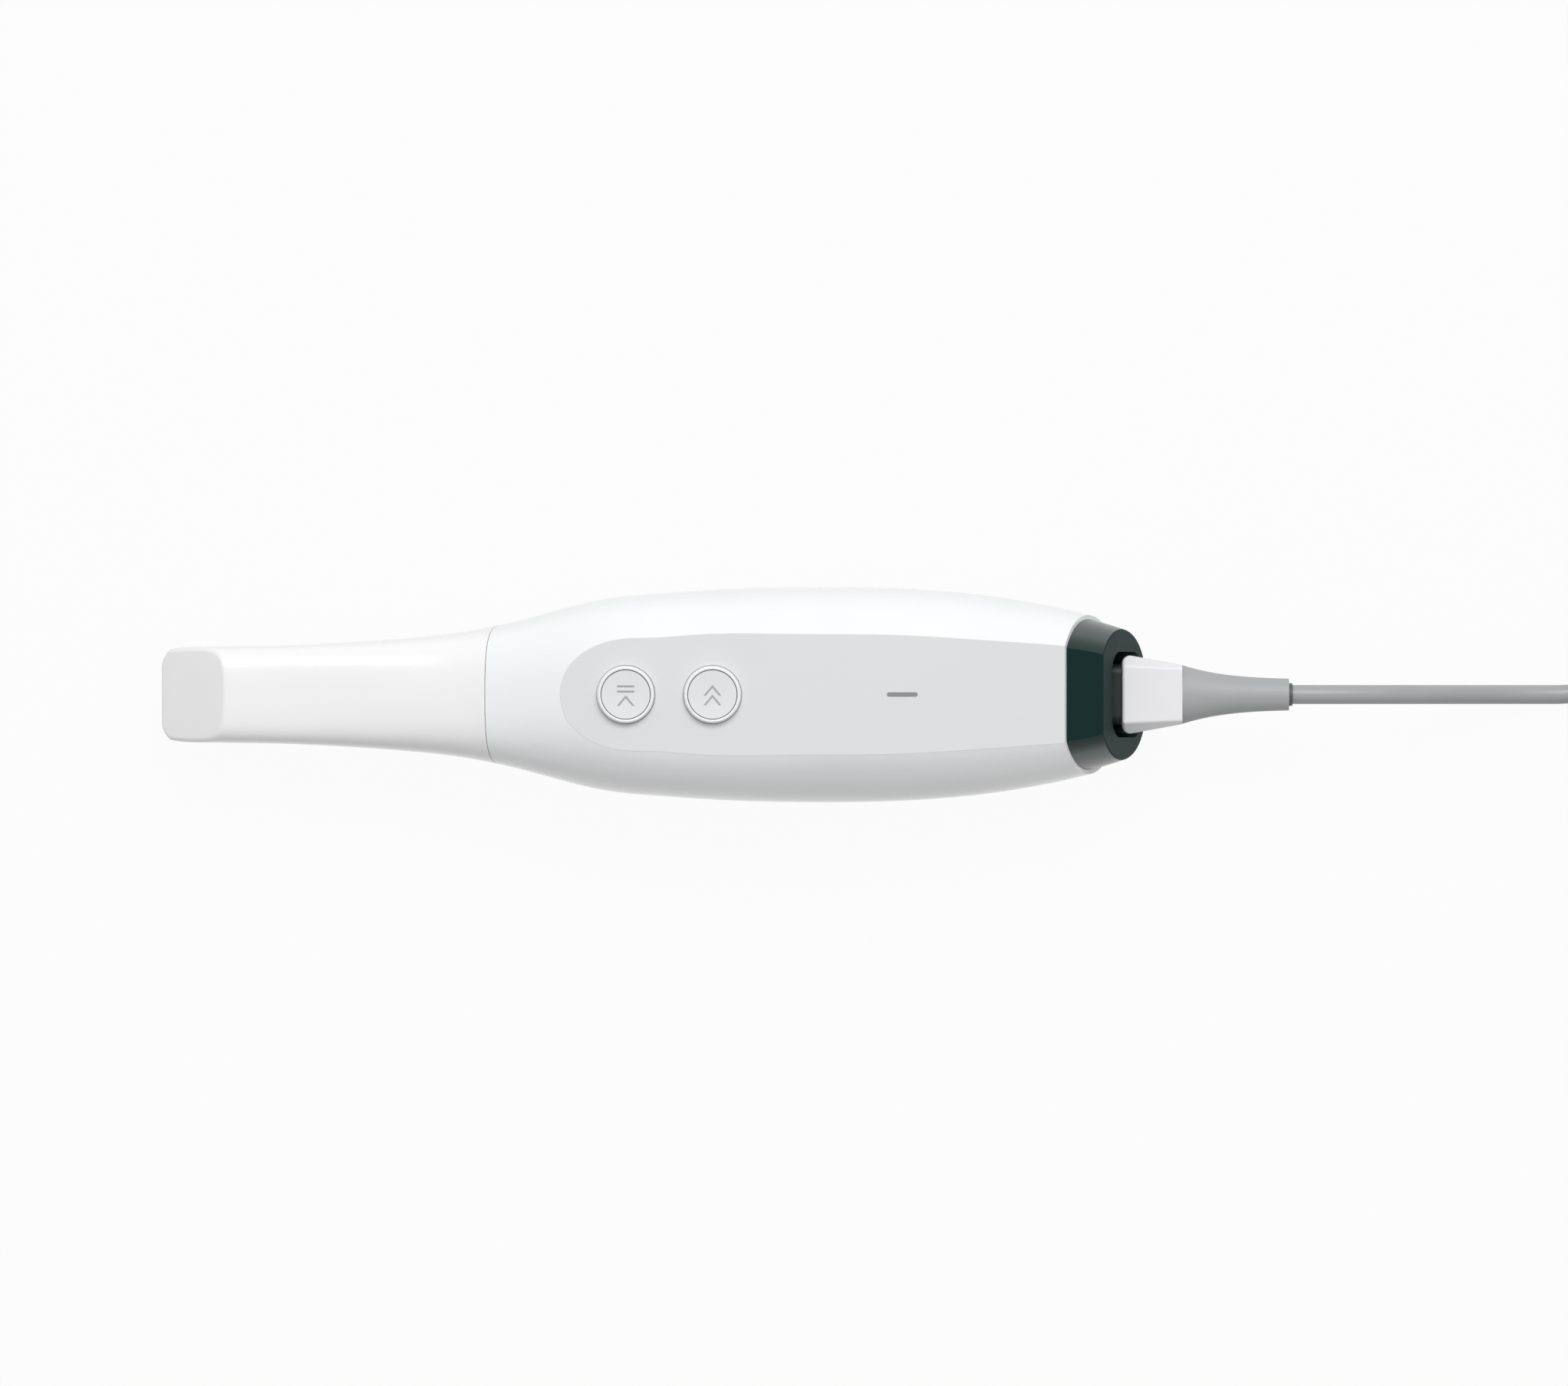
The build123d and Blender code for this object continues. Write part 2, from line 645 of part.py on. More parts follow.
above_light = above_deck(STATUS_FIT)
light_foot = board_top + LED_HEIGHT + LED_GAP
light_ledge = deck_height(status_place + STATUS_LENGTH) - SHELL_WALL - STATUS_FIT
with BuildPart() as status_light:
    with BuildSketch(Plane.XY.offset(light_foot)):
        with Locations((at(status_place), 0)):
            SlotOverall(STATUS_LENGTH - 2 * STATUS_FIT, STATUS_WIDTH - 2 * STATUS_FIT)
    extrude(amount=BODY_HEIGHT - light_foot)
    with BuildSketch(Plane.XY.offset(light_ledge)):
        with Locations((at(status_place), 0)):
            SlotOverall(STATUS_LENGTH + 2 * STATUS_FLANGE, STATUS_WIDTH + 2 * STATUS_FLANGE)
    extrude(amount=-STATUS_FLANGE_THICKNESS)
    add(above_light, mode=Mode.SUBTRACT)
write(status_light, "status_light")

# Optical frame: a bulkhead across the nose's root, a ribbed floor and standoffs for the main board
light_engine_front = bulkhead_front - PROJECTOR_OVERHANG + PROJECTOR_LENGTH
heat_sink_front = light_engine_front + LIGHT_ENGINE_LENGTH
main_board_front = heat_sink_front + HEAT_SINK_LENGTH + MAIN_BOARD_LEAD
main_board_length = frame_rear - main_board_front
main_board_middle = (main_board_front + frame_rear) / 2
frame_middle = (bulkhead_front + frame_rear) / 2
camera_sides = {"left": 1, "right": -1}

with BuildPart() as optical_frame:
    add(nose_outer)
    split(bisect_by=bulkhead_face, keep=Keep.TOP)
    split(bisect_by=bulkhead_face.offset(BULKHEAD_THICKNESS), keep=Keep.BOTTOM)
    with BuildSketch(bulkhead_face):
        with Locations((0, optic_height)):
            Circle(PROJECTOR_RADIUS + OPTIC_FIT)
        with Locations(*[(sign * CAMERA_SPREAD, optic_height) for sign in camera_sides.values()]):
            Circle(CAMERA_RADIUS + OPTIC_FIT)
    extrude(amount=BULKHEAD_THICKNESS, mode=Mode.SUBTRACT)
    with BuildSketch(Plane.XY.offset(frame_bottom)):
        with Locations((at(frame_middle), 0)):
            Rectangle(frame_rear - bulkhead_front, FRAME_WIDTH)
    extrude(amount=FRAME_PLATE)
    with BuildSketch(Plane.XY.offset(frame_bottom)):
        with Locations((at((bulkhead_rear + frame_rear) / 2), 0)):
            with GridLocations(0, FRAME_WIDTH - FRAME_RIB, 1, 2):
                Rectangle(frame_rear - bulkhead_rear, FRAME_RIB)
    extrude(amount=-FRAME_RIB_HEIGHT)
    with BuildSketch(Plane.XY.offset(frame_top)):
        with Locations((at(main_board_middle), 0)):
            with GridLocations(
                main_board_length - 2 * STANDOFF_INSET, MAIN_BOARD_WIDTH - 2 * STANDOFF_INSET, 2, 2
            ):
                Circle(STANDOFF_RADIUS)
    extrude(amount=STANDOFF_HEIGHT)
    with BuildSketch(Plane.XY.offset(frame_bottom)):
        with Locations(*frame_posts):
            Circle(SCREW_RADIUS + SCREW_GAP)
    extrude(amount=FRAME_PLATE + STANDOFF_HEIGHT, mode=Mode.SUBTRACT)
write(optical_frame, "optical_frame")

frame_screws = screws(frame_posts, frame_top, -SCREW_REACH)
write(frame_screws, "frame_screws")


def barrel(y, radius, length, overhang):
    """A lens barrel through the bulkhead, open at its front and stepped for its lens."""
    front = bulkhead_front - overhang
    with BuildPart() as tube:
        with BuildSketch(Plane.YZ.offset(at(front))):
            with Locations((y, optic_height)):
                Circle(radius)
        extrude(amount=length)
        with BuildSketch(Plane.YZ.offset(at(front))):
            with Locations((y, optic_height)):
                Circle(radius - BARREL_WALL)
        extrude(amount=LENS_SEAT + LENS_THICKNESS, mode=Mode.SUBTRACT)
        with BuildSketch(Plane.YZ.offset(at(front))):
            with Locations((y, optic_height)):
                Circle(radius - 2 * BARREL_WALL)
        extrude(amount=length - BARREL_WALL, mode=Mode.SUBTRACT)
    return tube


def lens(y, radius, overhang):
    """A lens with a domed front, seated on the step of its barrel."""
    rim = radius - BARREL_WALL - OPTIC_FIT
    front = at(bulkhead_front - overhang + LENS_SEAT)
    back = front + LENS_THICKNESS
    lying = Plane(origin=(0, y, optic_height), x_dir=(1, 0, 0), z_dir=(0, 0, 1))
    with BuildPart() as glass:
        with BuildSketch(lying):
            with BuildLine():
                Polyline((front, 0), (back, 0), (back, rim), (front + LENS_DOME, rim))
                TangentArc((front, 0), (front + LENS_DOME, rim), tangent=(0, 1))
            make_face()
        revolve(axis=Axis((0, y, optic_height), (1, 0, 0)))
    return glass


projector_barrel = barrel(0, PROJECTOR_RADIUS, PROJECTOR_LENGTH, PROJECTOR_OVERHANG)
write(projector_barrel, "projector_barrel")
projector_lens = lens(0, PROJECTOR_RADIUS, PROJECTOR_OVERHANG)
write(projector_lens, "projector_lens")
for side, sign in camera_sides.items():
    camera_barrel = barrel(sign * CAMERA_SPREAD, CAMERA_RADIUS, CAMERA_LENGTH, CAMERA_OVERHANG)
    write(camera_barrel, f"{side}_camera_barrel")
    camera_lens = lens(sign * CAMERA_SPREAD, CAMERA_RADIUS, CAMERA_OVERHANG)
    write(camera_lens, f"{side}_camera_lens")

# Sensor board behind the cameras, standing on the frame, with a hole for the projector
sensor_face = Plane.YZ.offset(at(bulkhead_front - CAMERA_OVERHANG + CAMERA_LENGTH))
with BuildPart() as sensor_board:
    with BuildSketch(sensor_face):
        with Locations((0, frame_top + SENSOR_BOARD_HEIGHT / 2)):
            Rectangle(SENSOR_BOARD_WIDTH, SENSOR_BOARD_HEIGHT)
        with Locations((0, optic_height)):
            Circle(PROJECTOR_RADIUS + OPTIC_FIT, mode=Mode.SUBTRACT)
    extrude(amount=BOARD_THICKNESS)
write(sensor_board, "sensor_board")

# Light engine behind the projector, with a finned heat sink on its back
light_engine_top = board_top - BOARD_THICKNESS - SCREW_HEAD_HEIGHT - LIGHT_ENGINE_CLEARANCE
light_engine_height = light_engine_top - frame_top
light_engine_middle = (light_engine_top + frame_top) / 2
with BuildPart() as light_engine:
    with BuildSketch(Plane.YZ.offset(at(light_engine_front))):
        with Locations((0, light_engine_middle)):
            Rectangle(LIGHT_ENGINE_WIDTH, light_engine_height)
    extrude(amount=LIGHT_ENGINE_LENGTH)
    chamfer(light_engine.faces().sort_by(Axis.Z)[-1].edges(), BARREL_WALL)
write(light_engine, "light_engine")

with BuildPart() as heat_sink:
    with BuildSketch(Plane.YZ.offset(at(heat_sink_front))):
        with Locations((0, light_engine_middle)):
            Rectangle(LIGHT_ENGINE_WIDTH, light_engine_height)
    extrude(amount=HEAT_SINK_BASE)
    with BuildSketch(Plane.YZ.offset(at(heat_sink_front))):
        with Locations((0, light_engine_middle)):
            with GridLocations(
                (LIGHT_ENGINE_WIDTH - HEAT_SINK_FIN) / (HEAT_SINK_FINS - 1), 0, HEAT_SINK_FINS, 1
            ):
                Rectangle(HEAT_SINK_FIN, light_engine_height)
    extrude(amount=HEAT_SINK_LENGTH)
write(heat_sink, "heat_sink")

# Main board on the frame's standoffs, with its processor
main_board_bottom = frame_top + STANDOFF_HEIGHT
with BuildPart() as main_board:
    with BuildSketch(Plane.XY.offset(main_board_bottom)):
        with Locations((at(main_board_middle), 0)):
            RectangleRounded(main_board_length, MAIN_BOARD_WIDTH, MAIN_BOARD_THICKNESS)
        with Locations(*frame_posts):
            Circle(SCREW_HEAD_RADIUS + SCREW_GAP, mode=Mode.SUBTRACT)
    extrude(amount=MAIN_BOARD_THICKNESS)
write(main_board, "main_board")

with BuildPart() as processor:
    with BuildSketch(Plane.XY.offset(main_board_bottom + MAIN_BOARD_THICKNESS)):
        with Locations((at(main_board_middle), 0)):
            Rectangle(PROCESSOR_SIDE, PROCESSOR_SIDE)
    extrude(amount=PROCESSOR_HEIGHT)
    chamfer(processor.faces().sort_by(Axis.Z)[-1].edges(), PROCESSOR_HEIGHT / 4)
write(processor, "image_processor")

# Rear cap: a moulding inset from the shells, with a slanted back and a recess for the plug
cap_form = body(CAP_STEP)
spigot_form = body(SHELL_WALL + CAP_FIT)
cap_width = REAR_WIDTH + 2 * CAP_LENGTH * tan(radians(CAP_TILT))
cap_plan = plan(HANDPIECE_LENGTH, cap_place, REAR_WIDTH, cap_width, CAP_CORNER)
recess_face = Plane.YZ.offset(at(cap_place + RECESS_FLOOR))

with BuildPart() as cap_spigot:
    add(spigot_form)
    split(bisect_by=cap_front.offset(-SPIGOT_LENGTH), keep=Keep.TOP)
    split(bisect_by=cap_front.offset(CAP_EDGE), keep=Keep.BOTTOM)

with BuildPart() as rear_cap:
    add(cap_form)
    split(bisect_by=cap_front, keep=Keep.TOP)
    split(bisect_by=cap_front.offset(CAP_DEPTH), keep=Keep.BOTTOM)
    add(cap_plan, mode=Mode.INTERSECT)
    back = rear_cap.faces().filter_by(cap_front).sort_by(Axis.X)[-1]
    fillet(back.edges(), CAP_EDGE)
    add(cap_spigot.part)
    with BuildSketch(recess_face):
        with Locations((0, axis_height)):
            RectangleRounded(RECESS_WIDTH, RECESS_HEIGHT, RECESS_CORNER)
    extrude(amount=CAP_LENGTH, mode=Mode.SUBTRACT)
    with BuildSketch(recess_face):
        with Locations((0, axis_height)):
            Rectangle(SOCKET_WIDTH + 2 * CAP_FIT, SOCKET_HEIGHT + 2 * CAP_FIT)
    extrude(amount=-CAP_LENGTH, mode=Mode.SUBTRACT)
write(rear_cap, "rear_cap")

with BuildPart() as socket_shell:
    with BuildSketch(recess_face):
        with Locations((0, axis_height)):
            Rectangle(SOCKET_WIDTH, SOCKET_HEIGHT)
    extrude(amount=-SOCKET_LENGTH)
    with BuildSketch(recess_face):
        with Locations((0, axis_height)):
            Rectangle(SOCKET_WIDTH - 2 * SOCKET_WALL, SOCKET_HEIGHT - 2 * SOCKET_WALL)
    extrude(amount=-SOCKET_LENGTH + SOCKET_WALL, mode=Mode.SUBTRACT)
write(socket_shell, "socket_shell")

with BuildPart() as socket_tongue:
    with BuildSketch(recess_face.offset(SOCKET_WALL - SOCKET_LENGTH)):
        with Locations((0, axis_height)):
            Rectangle(TONGUE_WIDTH, TONGUE_HEIGHT)
    extrude(amount=TONGUE_LENGTH)
write(socket_tongue, "socket_tongue")

# Plug: a contact shell on a dark core, and a bevelled grip over the core's end
core_front = recess_face.offset(PLUG_FLOOR_GAP)
grip_front = core_front.offset(PLUG_CORE_LENGTH)
grip_rear = grip_front.offset(PLUG_LENGTH)
contact_width = SOCKET_WIDTH - 2 * SOCKET_WALL - 2 * PLUG_FIT
contact_height = SOCKET_HEIGHT - 2 * SOCKET_WALL - 2 * PLUG_FIT


def contact_shell(face, y, z, reach):
    """A hollow contact shell that stands out of a face by a signed reach."""
    with BuildPart() as shell:
        with BuildSketch(face):
            with Locations((y, z)):
                Rectangle(contact_width, contact_height)
                Rectangle(contact_width - 2 * PLUG_WALL, contact_height - 2 * PLUG_WALL, mode=Mode.SUBTRACT)
        extrude(amount=reach)
    return shell


plug_shell = contact_shell(core_front, 0, axis_height, -PLUG_FLOOR_GAP - PLUG_REACH)
write(plug_shell, "plug_shell")

with BuildPart() as plug_core:
    with BuildSketch(core_front):
        with Locations((0, axis_height)):
            RectangleRounded(PLUG_CORE_WIDTH, PLUG_CORE_HEIGHT, PLUG_CORE_CORNER)
    extrude(amount=PLUG_CORE_LENGTH)
write(plug_core, "plug_core")


def grip_outline(width, height, top_width, side_height):
    """Eight corners of a bevelled block's section about the plug's axis."""
    quarter = [(width / 2, side_height / 2), (top_width / 2, height / 2)]
    upper = quarter + [(-y, z) for y, z in reversed(quarter)]
    return [(y, axis_height + z) for y, z in upper] + [(-y, axis_height - z) for y, z in upper]


grip_place = cap_place + RECESS_FLOOR + PLUG_FLOOR_GAP + PLUG_CORE_LENGTH
grip_plan = plan(grip_place, grip_place + PLUG_LENGTH, PLUG_WIDTH, PLUG_END_WIDTH, PLUG_CORNER)
with BuildPart() as plug_grip:
    with BuildSketch(grip_front):
        with BuildLine():
            Polyline(*grip_outline(PLUG_WIDTH, PLUG_HEIGHT, PLUG_TOP_WIDTH, PLUG_SIDE_HEIGHT), close=True)
        make_face()
    with BuildSketch(grip_rear):
        with BuildLine():
            Polyline(
                *grip_outline(PLUG_END_WIDTH, PLUG_END_HEIGHT, PLUG_END_TOP_WIDTH, PLUG_END_SIDE_HEIGHT),
                close=True,
            )
        make_face()
    loft(ruled=True)
    add(grip_plan, mode=Mode.INTERSECT)
    fillet(plug_grip.edges() - plug_grip.faces().sort_by(Axis.X)[-1].edges(), PLUG_EDGE)
write(plug_grip, "plug_grip")

# Strain relief: from the plug's end section down to a round sleeve on the cable
relief_rear = grip_rear.offset(RELIEF_LENGTH)
with BuildPart() as strain_relief:
    for share, flare in RELIEF_FLARE:
        with BuildSketch(grip_rear.offset(share * RELIEF_LENGTH)):
            with Locations((0, axis_height)):
                Ellipse(
                    RELIEF_END_RADIUS + flare * (PLUG_END_WIDTH / 2 - RELIEF_END_RADIUS),
                    RELIEF_END_RADIUS + flare * (PLUG_END_HEIGHT / 2 - RELIEF_END_RADIUS),
                )
    loft()
write(strain_relief, "strain_relief")

# Cable: out of the strain relief, down to the surface and into a tied coil, with a plug at its far end
coil_ring = COIL_TURN_RADIUS + (COIL_COLUMNS - 1) * CABLE_RADIUS
coil_top = (2 * COIL_LAYERS - 1) * CABLE_RADIUS
far_axis = FAR_PLUG_HEIGHT / 2
CABLE_ROUTE = [
    (relief_rear.origin.X, 0, axis_height),
    (161, 0, axis_height),
    (188, 0, CABLE_RADIUS),
    (212, 0, CABLE_RADIUS),
    (226, 11.8, CABLE_RADIUS),
]
TAIL_ROUTE = [
    (COIL_X, COIL_Y + coil_ring, coil_top),
    (260, COIL_Y + coil_ring, coil_top),
    (286, COIL_Y + coil_ring, far_axis),
    (304, COIL_Y + coil_ring, far_axis),
]


def corner_radii(route):
    """The largest radius that the two runs at each inner point of a route leave room for."""
    points = [Vector(*point) for point in route]
    radii = []
    for before, here, after in zip(points, points[1:], points[2:]):
        turn = (here - before).get_angle(after - here)
        shorter = min((here - before).length, (after - here).length)
        radii.append(ARC_SHARE * shorter / tan(radians(turn) / 2))
    return radii


def tube(route):
    """A round cable along straight runs and tangent arcs."""
    radii = corner_radii(route)
    print("cable radii", [round(radius, 1) for radius in radii])
    with BuildPart() as cord:
        with BuildLine() as path:
            FilletPolyline(*route, radius=radii)
        with BuildSketch(Plane(origin=path.line @ 0, z_dir=path.line % 0)):
            Circle(CABLE_RADIUS)
        sweep()
    straight = CABLE_RADIUS**2 * pi * path.wire().length
    print("cable volume against section times length", round(cord.part.volume / straight, 4))
    return cord


cable = tube(CABLE_ROUTE)
write(cable, "cable")
cable_tail = tube(TAIL_ROUTE)
write(cable_tail, "cable_tail")

coil_outer = COIL_TURN_RADIUS + COIL_COLUMNS * CABLE_RADIUS
coil_inner = COIL_TURN_RADIUS - COIL_COLUMNS * CABLE_RADIUS
coil_height = 2 * COIL_LAYERS * CABLE_RADIUS
with BuildPart() as cable_coil:
    with BuildSketch():
        with Locations((COIL_X, COIL_Y)):
            Circle(coil_outer)
            Circle(coil_inner, mode=Mode.SUBTRACT)
    extrude(amount=coil_height)
    fillet(cable_coil.edges().filter_by(GeomType.CIRCLE), CABLE_RADIUS)
write(cable_coil, "cable_coil")

across = Plane(
    origin=(COIL_X, COIL_Y, 0),
    x_dir=(cos(radians(TIE_ANGLE)), sin(radians(TIE_ANGLE)), 0),
    z_dir=(sin(radians(TIE_ANGLE)), -cos(radians(TIE_ANGLE)), 0),
)
with BuildPart() as coil_tie:
    with BuildSketch(across):
        with Locations((COIL_TURN_RADIUS, coil_height / 2 + TIE_THICKNESS / 2)):
            RectangleRounded(
                coil_outer - coil_inner + 2 * TIE_THICKNESS, coil_height + TIE_THICKNESS, 2 * CABLE_RADIUS
            )
        with Locations((COIL_TURN_RADIUS, coil_height / 2 + TIE_THICKNESS / 2)):
            RectangleRounded(
                coil_outer - coil_inner, coil_height - TIE_THICKNESS, CABLE_RADIUS, mode=Mode.SUBTRACT
            )
    extrude(amount=TIE_WIDTH / 2, both=True)
write(coil_tie, "coil_tie")

far_start = Plane.YZ.offset(TAIL_ROUTE[-1][0])
far_grip = far_start.offset(FAR_RELIEF_LENGTH)
far_y = TAIL_ROUTE[-1][1]
with BuildPart() as far_relief:
    for offset, radius in ((0, FAR_RELIEF_RADIUS), (FAR_RELIEF_LENGTH, far_axis)):
        with BuildSketch(far_start.offset(offset)):
            with Locations((far_y, far_axis)):
                Circle(radius)
    loft()
write(far_relief, "far_strain_relief")

with BuildPart() as far_plug:
    with BuildSketch(far_grip):
        with Locations((far_y, far_axis)):
            RectangleRounded(FAR_PLUG_WIDTH, FAR_PLUG_HEIGHT, FAR_PLUG_EDGE)
    extrude(amount=FAR_PLUG_LENGTH)
    fillet(far_plug.faces().sort_by(Axis.X)[-1].edges(), FAR_PLUG_EDGE / 2)
write(far_plug, "far_plug_grip")

far_shell = contact_shell(far_grip.offset(FAR_PLUG_LENGTH), far_y, far_axis, FAR_SHELL_REACH)
write(far_shell, "far_plug_shell")
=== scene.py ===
"""Looks of a wired intraoral scanner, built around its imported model.

Metres, with +X from the mirror tip to the cable, +Z up and the buttons on top, and angles in degrees.
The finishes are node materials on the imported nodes. The cable, the buttons' marks and other small pieces
are new, and the tip's sleeve is a copy that follows the seam.
"""

import logging
import math
from collections.abc import Iterator
from contextlib import contextmanager
from dataclasses import dataclass
from enum import Enum
from typing import Any

import bmesh
import bpy
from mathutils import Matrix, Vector


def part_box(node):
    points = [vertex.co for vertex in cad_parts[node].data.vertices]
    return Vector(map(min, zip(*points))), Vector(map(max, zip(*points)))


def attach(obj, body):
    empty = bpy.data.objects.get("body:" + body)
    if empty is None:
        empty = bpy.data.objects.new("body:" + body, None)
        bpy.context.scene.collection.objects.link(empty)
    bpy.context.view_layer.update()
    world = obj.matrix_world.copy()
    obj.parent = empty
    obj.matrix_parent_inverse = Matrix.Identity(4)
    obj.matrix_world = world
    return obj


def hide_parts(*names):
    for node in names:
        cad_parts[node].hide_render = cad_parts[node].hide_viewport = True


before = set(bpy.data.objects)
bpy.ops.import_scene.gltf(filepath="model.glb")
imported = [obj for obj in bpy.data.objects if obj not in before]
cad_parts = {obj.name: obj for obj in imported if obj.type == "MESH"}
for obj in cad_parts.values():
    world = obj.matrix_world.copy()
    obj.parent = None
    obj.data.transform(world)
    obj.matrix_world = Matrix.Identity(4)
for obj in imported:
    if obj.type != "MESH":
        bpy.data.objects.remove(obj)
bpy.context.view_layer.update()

LOG = logging.getLogger("scanner")
MM = 0.001

# Most values of a noise texture lie between these
NOISE_RANGE = (0.3, 0.7)
# Octaves of the clouds in a tone and of the grain in a surface
CLOUD_DETAIL = 3.0
GRAIN_DETAIL = 2.0
# Share by which roughness swings about its mean on a moulded and on a tooled surface
MOULDED_SWING = 0.1
TOOLED_SWING = 0.25

Point = tuple[float, float, float]


class Body(str, Enum):
    """The part's bodies, which its pieces ride on."""

    HANDPIECE = "handpiece"
    MIRROR_TIP = "mirror_tip"
    FRONT_BUTTON = "front_button"
    REAR_BUTTON = "rear_button"
    CABLE_SET = "cable_set"


class Mark(Enum):
    """Strokes of the symbols on the button caps: chevrons by their apex, bars by their middle, in mm."""

    BARS_OVER_CHEVRON = ((-0.15,), (1.8, 0.66))
    TWO_CHEVRONS = ((2.1, 0.0), ())


def linear(colour: str) -> tuple[float, float, float, float]:
    """Turn an sRGB hex colour to linear light.

    Args:
        colour: Six hex digits after a hash.

    Returns:
        Linear red, green, blue and an alpha of 1.
    """
    shares = [int(colour[i : i + 2], 16) / 255 for i in (1, 3, 5)]
    return (*(s / 12.92 if s <= 0.04045 else ((s + 0.055) / 1.055) ** 2.4 for s in shares), 1.0)


class Nodes:
    """A node tree that is being filled."""

    def __init__(self, tree: bpy.types.NodeTree) -> None:
        """Take up a tree."""
        self.tree = tree

    def add(self, kind: str, inputs: dict[Any, Any] | None = None, **settings: Any) -> bpy.types.Node:
        """Add a node with its settings, and fill or link its inputs.

        Args:
            kind: The node's type.
            inputs: Values or output sockets by input name or number.
            **settings: The node's own properties.

        Returns:
            The new node.
        """
        node = self.tree.nodes.new(kind)
        for name, value in settings.items():
            setattr(node, name, value)
        self.fill(node, inputs or {})
        return node

    def fill(self, node: bpy.types.Node, inputs: dict[Any, Any]) -> None:
        """Set or link a node's inputs.

        Args:
            node: The node.
            inputs: Values or output sockets by input name or number.
        """
        for name, value in inputs.items():
            if isinstance(value, bpy.types.NodeSocket):
                self.tree.links.new(value, node.inputs[name])
            else:
                node.inputs[name].default_value = value


class Surface(Nodes):
    """A new node material, with its shader and the piece's own coordinates."""

    def __init__(self, name: str) -> None:
        """Start an empty material.

        Args:
            name: The material's name.
        """
        self.material = bpy.data.materials.new(name)
        self.material.use_nodes = True
        super().__init__(self.material.node_tree)
        self.shader = self.tree.nodes["Principled BSDF"]
        self.place = self.add("ShaderNodeTexCoord").outputs["Object"]

    def wander(self, first: str, second: str, size: float, spread: float) -> bpy.types.NodeSocket:
        """A colour that wanders between two tones in soft clouds.

        Args:
            first: The main tone.
            second: The other tone.
            size: Size of a cloud, in mm.
            spread: How much of the second tone shows at most.

        Returns:
            The colour's socket.
        """
        cloud = self.add(
            "ShaderNodeTexNoise",
            {"Vector": self.place, "Scale": 1 / (size * MM), "Detail": CLOUD_DETAIL},
        )
        share = self.spread(cloud.outputs["Fac"], 0.0, spread)
        mixed = self.add(
            "ShaderNodeMix", {0: share, 6: linear(first), 7: linear(second)}, data_type="RGBA"
        )
        return mixed.outputs[2]

    def grain(self, size: float, depth: float, stretch: Point = (1, 1, 1)) -> tuple[Any, Any]:
        """A fine grain, as height and as a bent normal.

        Args:
            size: Size of a grain, in mm.
            depth: Depth of the grain, in mm.
            stretch: Shares of the grain's fineness along X, Y and Z.

        Returns:
            The grain's own socket and the normal's socket.
        """
        stretched = self.add("ShaderNodeMapping", {"Vector": self.place, "Scale": stretch})
        noise = self.add(
            "ShaderNodeTexNoise",
            {"Vector": stretched.outputs["Vector"], "Scale": 1 / (size * MM), "Detail": GRAIN_DETAIL},
        )
        bump = self.add("ShaderNodeBump", {"Height": noise.outputs["Fac"], "Distance": depth * MM})
        return noise.outputs["Fac"], bump.outputs["Normal"]

    def spread(self, source: Any, low: float, high: float) -> bpy.types.NodeSocket:
        """A value that follows a pattern between two limits.

        Args:
            source: The pattern's socket.
            low: Value at the pattern's low end.
            high: Value at its high end.

        Returns:
            The value's socket.
        """
        start, stop = NOISE_RANGE
        ranged = self.add(
            "ShaderNodeMapRange",
            {"Value": source, "From Min": start, "From Max": stop, "To Min": low, "To Max": high},
        )
        return ranged.outputs["Result"]

    def swing(self, source: Any, mean: float, share: float) -> bpy.types.NodeSocket:
        """A value that swings about its mean with a pattern.

        Args:
            source: The pattern's socket.
            mean: The value's mean.
            share: How far it swings, as a share of the mean.

        Returns:
            The value's socket.
        """
        return self.spread(source, mean * (1 - share), mean * (1 + share))


@dataclass(frozen=True)
class Finish:
    """A surface, by its common name, its tones and its gloss, with the sizes of its patterns in mm."""

    name: str
    colour: str
    shade: str
    roughness: float
    ior: float = 1.5

    def make(self) -> bpy.types.Material:
        """Build the material, or find it if it is made.

        Returns:
            The material.
        """
        made = bpy.data.materials.get(self.name)
        if made is None:
            surface = Surface(self.name)
            self.paint(surface)
            made = surface.material
        return made

    def paint(self, surface: Surface) -> None:
        """Fill the shader.

        Args:
            surface: The new material.
        """
        raise NotImplementedError


@dataclass(frozen=True)
class Moulding(Finish):
    """Injection-moulded plastic: an even tone with faint clouds, and the mould's grain in its gloss.

    A mould's own grain is about 0.05 mm; it is drawn several times as coarse, so that it shows.
    """

    grain: float = 0.4
    depth: float = 0.0003
    specular: float = 0.5
    cloud: float = 22.0
    drift: float = 0.6

    def paint(self, surface: Surface) -> None:
        """Fill the shader.

        Args:
            surface: The new material.
        """
        tone = surface.wander(self.colour, self.shade, self.cloud, self.drift)
        grain, normal = surface.grain(self.grain, self.depth)
        gloss = surface.swing(grain, self.roughness, MOULDED_SWING)
        surface.fill(
            surface.shader,
            {
                "Base Color": tone,
                "Roughness": gloss,
                "Normal": normal,
                "IOR": self.ior,
                "Specular IOR Level": self.specular,
            },
        )


